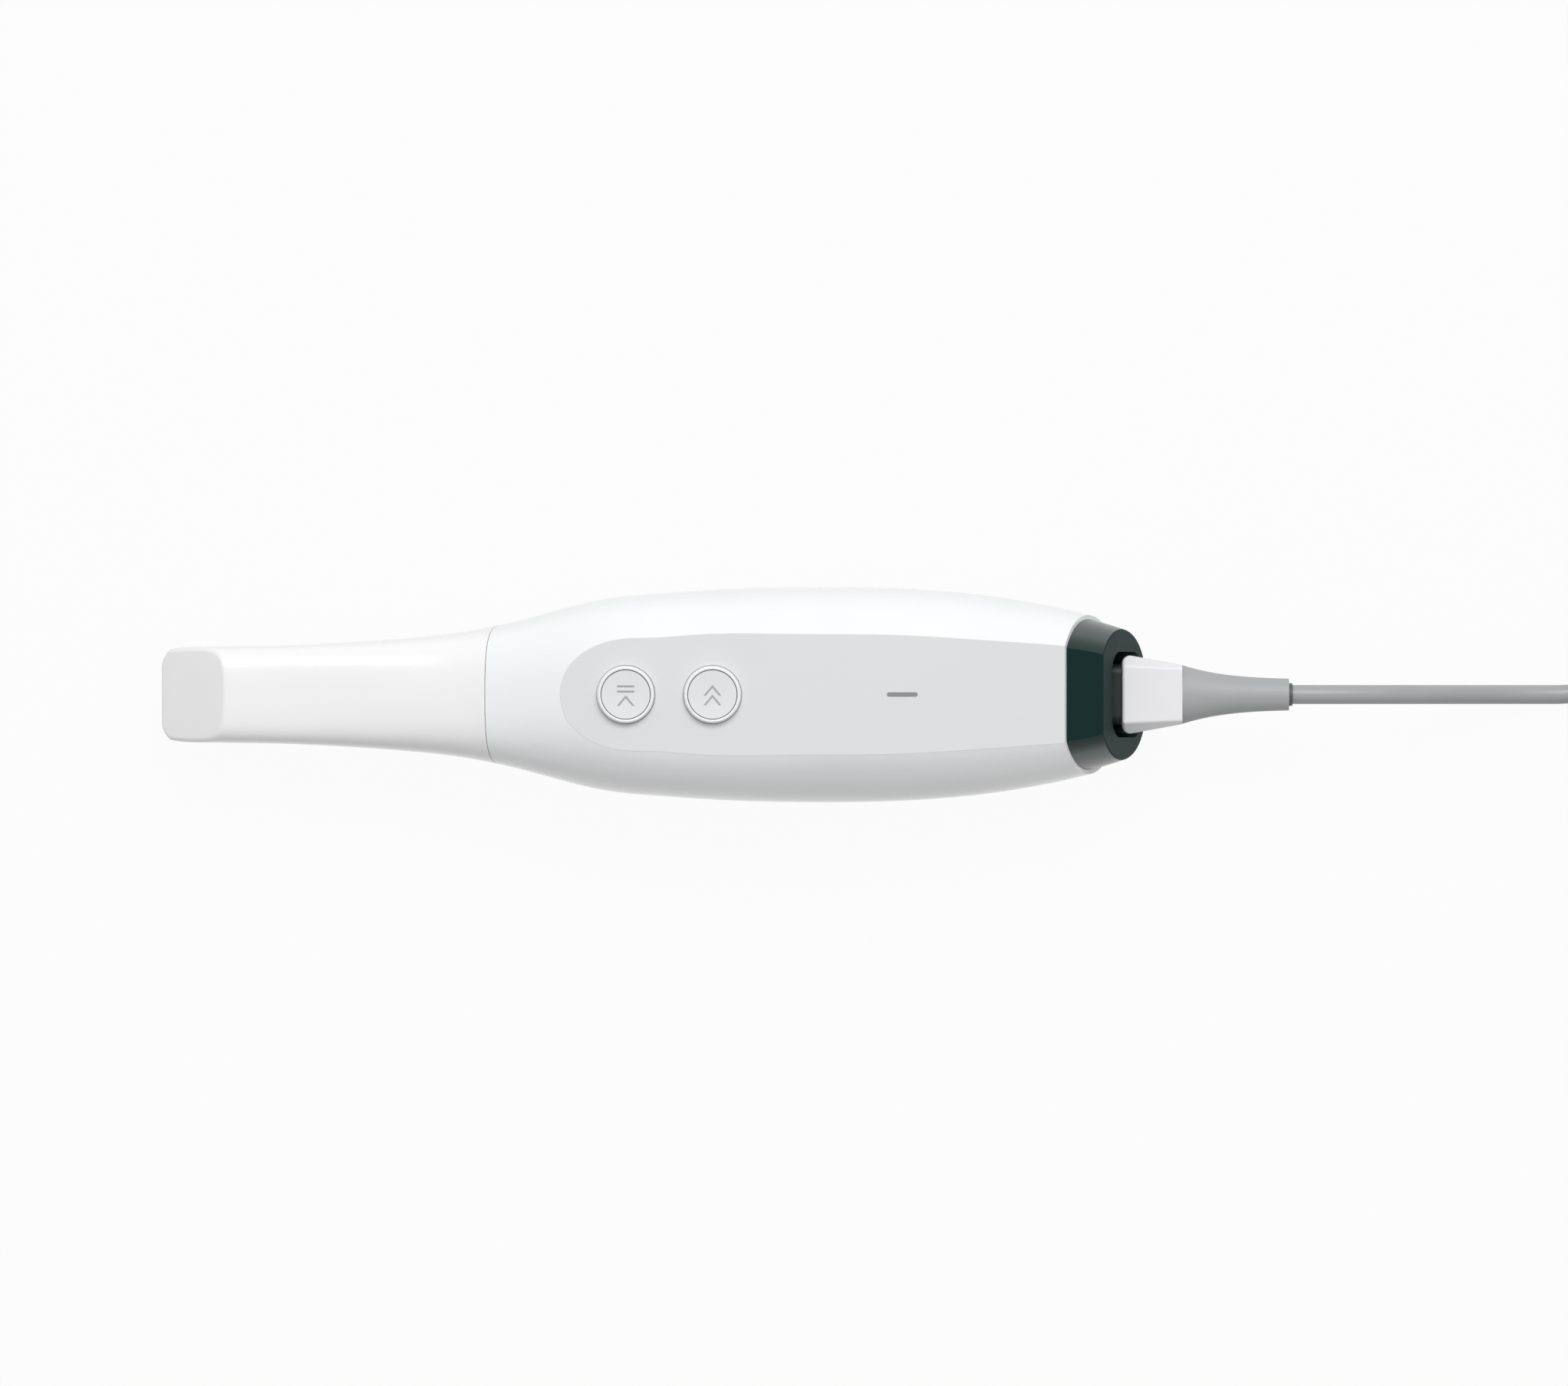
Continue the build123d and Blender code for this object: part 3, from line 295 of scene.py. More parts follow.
@dataclass(frozen=True)
class LacqueredMoulding(Moulding):
    """Dark moulding with a lacquered band, which shines on its slanted faces, and a matt rear face."""

    lacquer: float = 1.0
    lacquer_ior: float = 1.85
    lacquer_roughness: float = 0.3
    lacquer_tint: str = "#cfe9e3"
    turn: tuple[float, float] = (0.08, 0.35)
    rear: tuple[float, float] = (0.45, 0.6)

    def paint(self, surface: Surface) -> None:
        """Fill the shader.

        Args:
            surface: The new material.
        """
        super().paint(surface)
        facing = surface.add("ShaderNodeLayerWeight").outputs["Facing"]
        start, stop = self.turn
        slant = surface.add(
            "ShaderNodeMapRange",
            {"Value": facing, "From Min": start, "From Max": stop, "To Max": self.lacquer},
        )
        outward = surface.add("ShaderNodeTexCoord").outputs["Normal"]
        backward = surface.add("ShaderNodeSeparateXYZ", {"Vector": outward}).outputs["X"]
        start, stop = self.rear
        band = surface.add(
            "ShaderNodeMapRange",
            {"Value": backward, "From Min": start, "From Max": stop, "To Min": 1.0, "To Max": 0.0},
        )
        coat = surface.add(
            "ShaderNodeMath",
            {0: slant.outputs["Result"], 1: band.outputs["Result"]},
            operation="MULTIPLY",
        )
        surface.fill(
            surface.shader,
            {
                "Coat Weight": coat.outputs["Value"],
                "Coat IOR": self.lacquer_ior,
                "Coat Roughness": self.lacquer_roughness,
                "Specular Tint": linear(self.lacquer_tint),
            },
        )


@dataclass(frozen=True)
class DeckedMoulding(Moulding):
    """Polished moulding whose deck, the part of it on an arc along X, is spark-eroded to satin. The deck's
    greyer tone is painted shade, for the darker reflection that the flat deck shows from above.
    """

    # Tones of the deck: painted shade, greyer than the rest of the shell
    painted_shade_deck_colour: str = "#dddedf"
    painted_shade_deck_second_tone: str = "#dadbdc"
    deck_roughness: float = 0.5
    arc_x: float = 16.8
    arc_top: float = 41.5
    arc_radius: float = 610.0
    reach: float = 0.06

    def paint(self, surface: Surface) -> None:
        """Fill the shader.

        Args:
            surface: The new material.
        """
        centre = (-self.arc_x * MM, 0, (self.arc_radius - self.arc_top) * MM)
        moved = surface.add(
            "ShaderNodeVectorMath", {0: surface.place, 1: centre}, operation="ADD"
        )
        flat = surface.add(
            "ShaderNodeVectorMath", {0: moved.outputs["Vector"], 1: (1, 0, 1)}, operation="MULTIPLY"
        )
        away = surface.add("ShaderNodeVectorMath", {0: flat.outputs["Vector"]}, operation="LENGTH")
        deck = surface.add(
            "ShaderNodeMath",
            {0: away.outputs["Value"], 1: (self.arc_radius - self.reach) * MM},
            operation="GREATER_THAN",
        ).outputs["Value"]
        tone = surface.wander(self.colour, self.shade, self.cloud, self.drift)
        # The deck's greyer tone is painted shade, for its darker reflection from above; its satin gloss is
        # the real finish
        painted_shade_deck_tone = surface.wander(self.painted_shade_deck_colour, self.painted_shade_deck_second_tone, self.cloud, self.drift)
        mixed = surface.add("ShaderNodeMix", {0: deck, 6: tone, 7: painted_shade_deck_tone}, data_type="RGBA")
        grain, normal = surface.grain(self.grain, self.depth)
        polished = surface.swing(grain, self.roughness, MOULDED_SWING)
        satin = surface.swing(grain, self.deck_roughness, MOULDED_SWING)
        gloss = surface.add("ShaderNodeMix", {0: deck, 2: polished, 3: satin})
        surface.fill(
            surface.shader,
            {
                "Base Color": mixed.outputs[2],
                "Roughness": gloss.outputs[0],
                "Normal": normal,
                "IOR": self.ior,
                "Specular IOR Level": self.specular,
            },
        )


@dataclass(frozen=True)
class Elastomer(Finish):
    """Soft moulded or extruded elastomer: a matt skin that takes a little sheen at its edges.

    Its real grain is about 0.1 mm; it is drawn coarser, so that it shows.
    """

    grain: float = 0.35
    depth: float = 0.006
    sheen: float = 0.1
    cloud: float = 9.0
    drift: float = 0.6

    def paint(self, surface: Surface) -> None:
        """Fill the shader.

        Args:
            surface: The new material.
        """
        grain, normal = surface.grain(self.grain, self.depth)
        surface.fill(
            surface.shader,
            {
                "Base Color": surface.wander(self.colour, self.shade, self.cloud, self.drift),
                "Roughness": surface.swing(grain, self.roughness, MOULDED_SWING),
                "Normal": normal,
                "IOR": self.ior,
                "Sheen Weight": self.sheen,
            },
        )


@dataclass(frozen=True)
class Metal(Finish):
    """Drawn, plated or anodised metal, with fine tool lines along one direction.

    Real tool lines are finer than these, which are drawn as coarse as they need to show.
    """

    lines: float = 0.12
    depth: float = 0.002
    along: Point = (0.05, 1, 1)
    metallic: float = 1.0
    cloud: float = 6.0
    drift: float = 0.7

    def paint(self, surface: Surface) -> None:
        """Fill the shader.

        Args:
            surface: The new material.
        """
        grain, normal = surface.grain(self.lines, self.depth, self.along)
        surface.fill(
            surface.shader,
            {
                "Base Color": surface.wander(self.colour, self.shade, self.cloud, self.drift),
                "Roughness": surface.swing(grain, self.roughness, TOOLED_SWING),
                "Normal": normal,
                "Metallic": self.metallic,
            },
        )


@dataclass(frozen=True)
class Glass(Finish):
    """Polished optical glass with a thin coat, whose shade its reflections take, and patches of dust."""

    coat_share: float = 0.3
    dust: float = 1.5
    dust_haze: float = 2.0

    def paint(self, surface: Surface) -> None:
        """Fill the shader.

        Args:
            surface: The new material.
        """
        dust, _ = surface.grain(self.dust, 0.0)
        surface.fill(
            surface.shader,
            {
                "Base Color": linear(self.colour),
                "Roughness": surface.spread(dust, self.roughness, self.roughness * self.dust_haze),
                "IOR": self.ior,
                "Transmission Weight": 1.0,
                "Coat Weight": self.coat_share,
                "Coat Tint": linear(self.shade),
            },
        )


@dataclass(frozen=True)
class CircuitBoard(Finish):
    """Glass-fibre board under green solder mask, with copper tracks that show as paler lines.

    The tracks' width and run are in pitches. The pitch is drawn coarser than a real one, so that it shows.
    """

    pitch: float = 0.9
    track: float = 0.1
    run: float = 3.2
    depth: float = 0.02
    track_gloss: float = 0.8

    def paint(self, surface: Surface) -> None:
        """Fill the shader.

        Args:
            surface: The new material.
        """
        tracks = surface.add(
            "ShaderNodeTexBrick",
            {
                "Vector": surface.place,
                "Color1": linear(self.colour),
                "Color2": linear(self.colour),
                "Mortar": linear(self.shade),
                "Scale": 1 / (self.pitch * MM),
                "Mortar Size": self.track,
                "Brick Width": self.run,
                "Row Height": 1.0,
            },
        )
        bump = surface.add(
            "ShaderNodeBump", {"Height": tracks.outputs["Fac"], "Distance": self.depth * MM}
        )
        smooth = self.roughness * self.track_gloss
        surface.fill(
            surface.shader,
            {
                "Base Color": tracks.outputs["Color"],
                "Roughness": surface.spread(tracks.outputs["Fac"], self.roughness, smooth),
                "Normal": bump.outputs["Normal"],
                "IOR": self.ior,
            },
        )


@dataclass(frozen=True)
class Webbing(Finish):
    """Woven nylon strap: threads over and under, drawn coarser than real ones, so that they show."""

    thread: float = 0.7
    depth: float = 0.05
    turn: float = 30.0
    sheen: float = 0.3
    thread_gloss: float = 0.85

    def paint(self, surface: Surface) -> None:
        """Fill the shader.

        Args:
            surface: The new material.
        """
        turned = surface.add(
            "ShaderNodeMapping", {"Vector": surface.place, "Rotation": (0, 0, math.radians(self.turn))}
        )
        threads = surface.add(
            "ShaderNodeTexChecker",
            {
                "Vector": turned.outputs["Vector"],
                "Color1": linear(self.colour),
                "Color2": linear(self.shade),
                "Scale": 1 / (self.thread * MM),
            },
        )
        bump = surface.add(
            "ShaderNodeBump", {"Height": threads.outputs["Fac"], "Distance": self.depth * MM}
        )
        smooth = self.roughness * self.thread_gloss
        surface.fill(
            surface.shader,
            {
                "Base Color": threads.outputs["Color"],
                "Roughness": surface.spread(threads.outputs["Fac"], smooth, self.roughness),
                "Normal": bump.outputs["Normal"],
                "IOR": self.ior,
                "Sheen Weight": self.sheen,
            },
        )


# Polished polycarbonate: bright white, with soft clear reflections along its sides and a satin deck whose
# greyer tone is painted shade
SHELL = DeckedMoulding("polished_white_polycarbonate_painted_shade_deck", "#f3f4f5", "#eff0f1", 0.15)
LOWER_SHELL = Moulding("polished_white_polycarbonate", "#f3f4f5", "#eff0f1", 0.15)
# Steam-proof sulfone: a touch warmer and less glossy than the shells
TIP = Moulding("white_polysulfone", "#f4f4f4", "#f1f1f1", 0.18)
# Spark-eroded acetal: a dry, even white that keeps no clear reflection
BUTTON = Moulding("satin_white_acetal", "#e2e3e4", "#dedfe0", 0.42, grain=0.3)
# Smooth acetal: a bright rim with a soft highlight
BEZEL = Moulding("white_acetal", "#f1f2f2", "#edeeee", 0.3)
# Pad-printed ink: flat grey strokes with no shine
INK = Moulding("grey_pad_print", "#a5a7aa", "#9d9fa2", 0.6, grain=0.2, cloud=1.5)
# Lacquered ABS: deep green, nearly black from above, with pale shine on its slanted band
CAP = LacqueredMoulding("dark_green_lacquered_abs", "#0f2a28", "#0d2523", 0.5, specular=0.15)
# Smoked acrylic: a grey, glassy bar
LIGHT_GUIDE = Moulding("smoked_acrylic", "#8e9193", "#86898b", 0.25, ior=1.49)
# Glass-filled nylon: dull dark grey with a rough grain
NOSE = Moulding("grey_glass_filled_nylon", "#54575a", "#4b4e51", 0.5, grain=0.3, depth=0.006)
# Moulding epoxy: matt black with a sandy grain
CHIP = Moulding("black_epoxy", "#17181a", "#1d1e20", 0.55, grain=0.25, depth=0.004)
# Overmoulded elastomer: soft white, a little duller than the shells
PLUG = Moulding("white_elastomer_overmould", "#e9e9eb", "#e4e4e6", 0.42, grain=0.35, depth=0.002)
# Nylon: dark green and dull
PLUG_CORE = Moulding("dark_green_nylon", "#10201e", "#0d1a18", 0.5)
# Moulded and extruded elastomers: matt skins, the cable's the smoothest
RELIEF = Elastomer("grey_elastomer", "#a9aaab", "#a3a4a5", 0.5)
# The relief collar's dark tone is painted shade, for the shaded neck where the cable leaves the relief
PAINTED_SHADE_COLLAR = Elastomer("painted_shade_collar_elastomer", "#59635f", "#525c58", 0.5)
JACKET = Elastomer("grey_cable_jacket", "#a6a7a8", "#9fa0a1", 0.35)
SEAL = Elastomer("black_silicone", "#1b1c1d", "#232425", 0.5)
# Front-silvered glass: a clear mirror
MIRROR = Metal("front_silvered_glass", "#e9ecee", "#e4e8ea", 0.02, depth=0.0)
# Anodised aluminium: soft silver or near black, with milling lines along X
ALUMINIUM = Metal("clear_anodised_aluminium", "#b9bbbd", "#aeb0b2", 0.35)
BLACK_METAL = Metal("black_anodised_aluminium", "#232426", "#1c1d1f", 0.38, metallic=0.6)
# Drawn stainless steel: bright, with its lines along the screws' shanks
STEEL = Metal("stainless_steel", "#c3c4c5", "#b6b7b8", 0.28, along=(1, 1, 0.05))
# Nickel plate: a warm, clear shine
NICKEL = Metal("nickel_plated_steel", "#cfcdc8", "#c4c2bd", 0.22)
# Gold flash: thin yellow plate on the contacts
GOLD = Metal("gold_flash", "#e3bd62", "#d9b257", 0.22)
# Coated optical glass: clear, with violet or blue in its reflections
LENS = Glass("coated_lens_glass", "#f2f6fa", "#b9a8e6", 0.01, ior=1.6)
WINDOW = Glass("clear_window_glass", "#f7faf9", "#a9cfe0", 0.01, ior=1.52)
# Solder mask on glass fibre: glossy green with paler tracks
BOARD = CircuitBoard("green_circuit_board", "#14472c", "#1f6a42", 0.35)
# Woven nylon: dull black threads
STRAP = Webbing("woven_nylon", "#1c1d1f", "#2a2b2e", 0.8)


@contextmanager
def editing(piece: bpy.types.Object) -> Iterator[None]:
    """Edit one piece alone, with all of it selected.

    Args:
        piece: The piece to edit.

    Yields:
        Nothing; edit mode ends with the block.
    """
    bpy.ops.object.select_all(action="DESELECT")
    piece.select_set(True)
    bpy.context.view_layer.objects.active = piece
    bpy.ops.object.mode_set(mode="EDIT")
    bpy.ops.mesh.select_all(action="SELECT")
    yield
    bpy.ops.object.mode_set(mode="OBJECT")


def started(name: str) -> bpy.types.Object:
    """Name a new primitive and put its place, turn and size into its mesh.

    Args:
        name: The piece's name.

    Returns:
        The piece.
    """
    piece = bpy.context.active_object
    piece.name = name
    bpy.ops.object.transform_apply(location=True, rotation=True, scale=True)
    return piece


def apply_modifier(piece: bpy.types.Object, kind: str, **settings: Any) -> None:
    """Add a modifier to a piece and apply it.

    Args:
        piece: The piece.
        kind: The modifier's type.
        **settings: The modifier's own properties.
    """
    modifier = piece.modifiers.new(kind.lower(), kind)
    for name, value in settings.items():
        setattr(modifier, name, value)
    bpy.context.view_layer.objects.active = piece
    bpy.ops.object.modifier_apply(modifier=modifier.name)


def joined(name: str, pieces: list[bpy.types.Object]) -> bpy.types.Object:
    """Join pieces into one.

    Args:
        name: The joined piece's name.
        pieces: The pieces.

    Returns:
        The joined piece.
    """
    bpy.ops.object.select_all(action="DESELECT")
    for piece in pieces:
        piece.select_set(True)
    bpy.context.view_layer.objects.active = pieces[0]
    bpy.ops.object.join()
    pieces[0].name = name
    return pieces[0]


def copied(piece: bpy.types.Object, shift: Point) -> bpy.types.Object:
    """Copy a piece with its own mesh, shifted.

    Args:
        piece: The piece to copy.
        shift: How far the copy stands from it.

    Returns:
        The copy, with its place in its mesh.
    """
    bpy.ops.object.select_all(action="DESELECT")
    piece.select_set(True)
    bpy.context.view_layer.objects.active = piece
    bpy.ops.object.duplicate(linked=False)
    bpy.ops.transform.translate(value=shift)
    return started(piece.name + "_copy")


def dress(piece: bpy.types.Object, finish: Finish, body: Body) -> None:
    """Give a new piece its finish and the body that it rides on.

    Args:
        piece: The piece.
        finish: Its finish.
        body: Its body.
    """
    piece.data.materials.clear()
    piece.data.materials.append(finish.make())
    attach(piece, body.value)
    LOG.info("%s: %s on %s", piece.name, finish.name, body.value)


def dress_nodes(finish: Finish, *names: str) -> None:
    """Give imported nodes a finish.

    Args:
        finish: The finish.
        *names: The nodes' names.
    """
    for name in names:
        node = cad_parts[name]
        for holder in node.material_slots:
            holder.material = finish.make()
        LOG.info("%s: %s", name, finish.name)


@dataclass
class Studio:
    """Floor, light and camera."""

    frame_pixels: tuple[int, int] = (2044, 1807)
    pixel: float = 0.1684 * MM
    aim: tuple[float, float] = (28.7 * MM, 0.34 * MM)
    axis_height: float = 21.5 * MM
    lens: float = 300.0
    sensor: float = 36.0
    far_clip: float = 100.0
    floor_size: float = 80.0
    floor_drop: float = 0.1 * MM
    floor_tone: str = "#b6b6b6"
    floor_roughness: float = 0.9
    floor_lift: float = 0.95
    white: str = "#ffffff"
    horizon: float = 0.62
    overhead: float = 0.53
    horizon_top: float = 0.35
    lean: float = 0.15
    key_place: Point = (0.1, 0.8, 1.28)
    key_size: tuple[float, float] = (1.2, 0.7)
    key_power: float = 13.8

    def build(self) -> None:
        """Build the camera, the floor and the light."""
        self.camera()
        self.floor()
        self.world()
        self.key_light()

    def camera(self) -> None:
        """Look straight down on the buttons, at the photograph's scale."""
        distance = self.frame_pixels[0] * self.pixel * self.lens / self.sensor
        bpy.ops.object.camera_add(location=(*self.aim, self.axis_height + distance))
        camera = bpy.context.active_object
        camera.name = "camera"
        camera.data.lens = self.lens
        camera.data.sensor_width = self.sensor
        camera.data.clip_end = self.far_clip
        bpy.context.scene.camera = camera

    def floor(self) -> None:
        """A pale floor that shows white and keeps the shadow."""
        bpy.ops.mesh.primitive_plane_add(size=self.floor_size, location=(0, 0, -self.floor_drop))
        floor = started("floor")
        surface = Surface("white_paper_floor")
        light = surface.add("ShaderNodeLightPath").outputs
        seen = light["Is Camera Ray"]
        for ray in ("Is Glossy Ray", "Is Transmission Ray"):
            either = surface.add("ShaderNodeMath", {0: seen, 1: light[ray]}, operation="MAXIMUM")
            seen = either.outputs["Value"]
        share = surface.add("ShaderNodeMath", {0: seen, 1: self.floor_lift}, operation="MULTIPLY")
        surface.fill(
            surface.shader, {"Base Color": linear(self.floor_tone), "Roughness": self.floor_roughness}
        )
        glow = surface.add("ShaderNodeEmission", {"Color": linear(self.white), "Strength": 1.0})
        mixed = surface.add(
            "ShaderNodeMixShader",
            {0: share.outputs["Value"], 1: surface.shader.outputs["BSDF"], 2: glow.outputs["Emission"]},
        )
        output = surface.tree.nodes["Material Output"]
        surface.fill(output, {"Surface": mixed.outputs["Shader"]})
        floor.data.materials.append(surface.material)

    def world(self) -> None:
        """Plain surroundings, pale at the horizon, greyer overhead and brightest on the +Y side."""
        world = bpy.data.worlds.new("studio")
        bpy.context.scene.world = world
        world.use_nodes = True
        sky = Nodes(world.node_tree)
        way = sky.add("ShaderNodeTexCoord").outputs["Generated"]
        parts = sky.add("ShaderNodeSeparateXYZ", {"Vector": way}).outputs
        height = sky.add(
            "ShaderNodeMapRange",
            {
                "Value": parts["Z"],
                "From Max": self.horizon_top,
                "To Min": self.horizon,
                "To Max": self.overhead,
            },
        )
        side = sky.add(
            "ShaderNodeMapRange",
            {"Value": parts["Y"], "From Min": -1, "To Min": 1 - self.lean, "To Max": 1 + self.lean},
        )
        level = sky.add(
            "ShaderNodeMath",
            {0: height.outputs["Result"], 1: side.outputs["Result"]},
            operation="MULTIPLY",
        )
        background = world.node_tree.nodes["Background"]
        sky.fill(background, {"Strength": level.outputs["Value"], "Color": linear(self.white)})

    def key_light(self) -> None:
        """A soft box that faces the handpiece."""
        bpy.ops.object.light_add(type="AREA", location=self.key_place)
        lamp = bpy.context.active_object
        lamp.name = "key_light"
        lamp.data.shape = "RECTANGLE"
        lamp.data.size, lamp.data.size_y = self.key_size
        lamp.data.energy = self.key_power
        lamp.rotation_euler = (-Vector(self.key_place)).to_track_quat("-Z", "Y").to_euler()


@dataclass
class CableLead:
    """The cable from its strain relief to its far plug, with its coil's strap and the relief's collar."""

    radius: float = 2.1 * MM
    length: float = 1.8
    route: tuple[Point, ...] = (
        (0.1395, 0, 0.0215),
        (0.161, 0, 0.0215),
        (0.188, 0, 0.0021),
        (0.212, 0, 0.0021),
        (0.226, 0.0118, 0.0021),
    )
    tail: tuple[Point, ...] = (
        (0.26, 0.0152, 0.0147),
        (0.286, 0.0152, 0.0038),
        (0.304, 0.0152, 0.0038),
    )
    far_pieces: tuple[str, ...] = ("coil_tie", "far_strain_relief", "far_plug_grip", "far_plug_shell")
    coil_centre: tuple[float, float] = (0.24, -0.012)
    turn_radius: float = 23.0 * MM
    columns: int = 3
    layers: int = 4
    points_a_turn: int = 24
    first_shift: float = 32.0
    shift_width: float = 46.0
    start_angle: float = 120.0
    exit_angle: float = 90.0
    strap_angle: float = -60.0
    strap_top: float = 17.6 * MM
    strap_width: float = 8.0 * MM
    strap_length: float = 10.0 * MM
    strap_thickness: float = 0.7 * MM
    strap_corner: float = 1.6 * MM
    collar_radius: float = 2.5 * MM
    collar_length: float = 0.8 * MM
    collar_wall: float = 0.38 * MM
    collar_edge: float = 0.1 * MM
    collar_sides: int = 64
    smooth_angle: float = 40.0
    ring_steps: int = 5
    line_steps: int = 5

    def cells(self) -> list[tuple[float, float]]:
        """Radius and height of each turn, in the order in which the turns are wound.

        Returns:
            One pair a turn.
        """
        pitch = 2 * self.radius
        middle = (self.columns - 1) / 2
        outward = [self.turn_radius + (column - middle) * pitch for column in range(self.columns)]
        wound = []
        for layer in range(self.layers):
            radii = outward if layer % 2 else outward[::-1]
            wound += [(radius, self.radius + layer * pitch) for radius in radii]
        return wound

    def coil(self) -> list[Point]:
        """Points of the coil's turns, wound clockwise from the bottom's outer turn.

        Each turn moves to its next place within an arc of its own, the last turns first, so that turns
        lie beside and on each other and none crosses another.

        Returns:
            The points, up to the exit.
        """
        cells = self.cells()
        step = 360 / self.points_a_turn
        total = (len(cells) - 1) * 360 + self.start_angle - self.exit_angle
        reach = 1 / math.cos(math.pi / self.points_a_turn)
        points = []
        for index in range(1, round(total / step) + 1):
            turn, angle = divmod(index * step, 360)
            turn = int(turn)
            here = cells[turn]
            after = cells[min(turn + 1, len(cells) - 1)]
            layer, column = divmod(turn, self.columns)
            changes = column == self.columns - 1
            window = 2 * (self.layers - 1 - layer) - changes
            begins = self.first_shift + window * self.shift_width
            share = min(max((angle - begins) / self.shift_width, 0), 1)
            radius = (here[0] + (after[0] - here[0]) * share) * reach
            height = here[1] + (after[1] - here[1]) * share
            turned = math.radians(self.start_angle - angle)
            x = self.coil_centre[0] + radius * math.cos(turned)
            y = self.coil_centre[1] + radius * math.sin(turned)
            points.append((x, y, height))
        return points

    def build(self) -> None:
        """Build the cable, its collar and the strap's end, and dress the plugs."""
        collar, strap = self.collar(), self.strap_end()
        points = [*self.route, *self.coil(), *self.tail]
        curve = bpy.data.curves.new("cable_lead", "CURVE")
        curve.dimensions = "3D"
        curve.bevel_depth = self.radius
        curve.bevel_resolution = self.ring_steps
        curve.use_fill_caps = True
        line = curve.splines.new("NURBS")
        line.points.add(len(points) - 1)
        for held, point in zip(line.points, points):
            held.co = (*point, 1.0)
        line.order_u = 3
        line.use_endpoint_u = True
        line.resolution_u = self.line_steps
        lead = bpy.data.objects.new("cable_lead", curve)
        bpy.context.scene.collection.objects.link(lead)
        dress(lead, JACKET, Body.CABLE_SET)
        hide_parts("cable", "cable_coil", "cable_tail")
        dress_nodes(PLUG, "plug_grip", "far_plug_grip")
        dress_nodes(RELIEF, "strain_relief", "far_strain_relief")
        dress_nodes(PLUG_CORE, "plug_core")
        dress_nodes(NICKEL, "plug_shell", "far_plug_shell")
        dress_nodes(STRAP, "coil_tie")

    def collar(self) -> bpy.types.Object:
        """The small ring where the cable leaves its strain relief. Its dark tone is painted shade, for the
        shaded gap at that neck.

        Returns:
            The ring.
        """
        start = Vector(self.route[0])
        bpy.ops.mesh.primitive_cylinder_add(
            vertices=self.collar_sides,
            radius=self.collar_radius,
            depth=self.collar_length,
            end_fill_type="NOTHING",
            location=start + Vector((self.collar_length / 2, 0, 0)),
            rotation=(0, math.pi / 2, 0),
        )
        collar = started("relief_collar")
        apply_modifier(collar, "SOLIDIFY", thickness=self.collar_wall, offset=-1.0, use_even_offset=True)
        apply_modifier(collar, "BEVEL", width=self.collar_edge, segments=3, limit_method="ANGLE")
        bpy.ops.object.shade_smooth_by_angle(angle=math.radians(self.smooth_angle))
        dress(collar, PAINTED_SHADE_COLLAR, Body.CABLE_SET)
        return collar

    def strap_end(self) -> bpy.types.Object:
        """The strap's free end, pressed down on its own top.

        Returns:
            The strap's end.
        """
        turned = math.radians(self.strap_angle)
        out = Vector((math.cos(turned), math.sin(turned), 0))
        middle = Vector((*self.coil_centre, 0)) + out * self.turn_radius
        bpy.ops.mesh.primitive_plane_add(
            size=1, location=(middle.x, middle.y, self.strap_top), rotation=(0, 0, turned)
        )
        bpy.context.active_object.scale = (self.strap_length, self.strap_width, 1)
        strap = started("strap_end")
        with editing(strap):
            bpy.ops.mesh.bevel(offset=self.strap_corner, segments=6, affect="VERTICES")
        apply_modifier(strap, "SOLIDIFY", thickness=self.strap_thickness, offset=1.0)
        apply_modifier(strap, "BEVEL", width=self.strap_thickness / 4, segments=2, limit_method="ANGLE")
        dress(strap, STRAP, Body.CABLE_SET)
        return strap


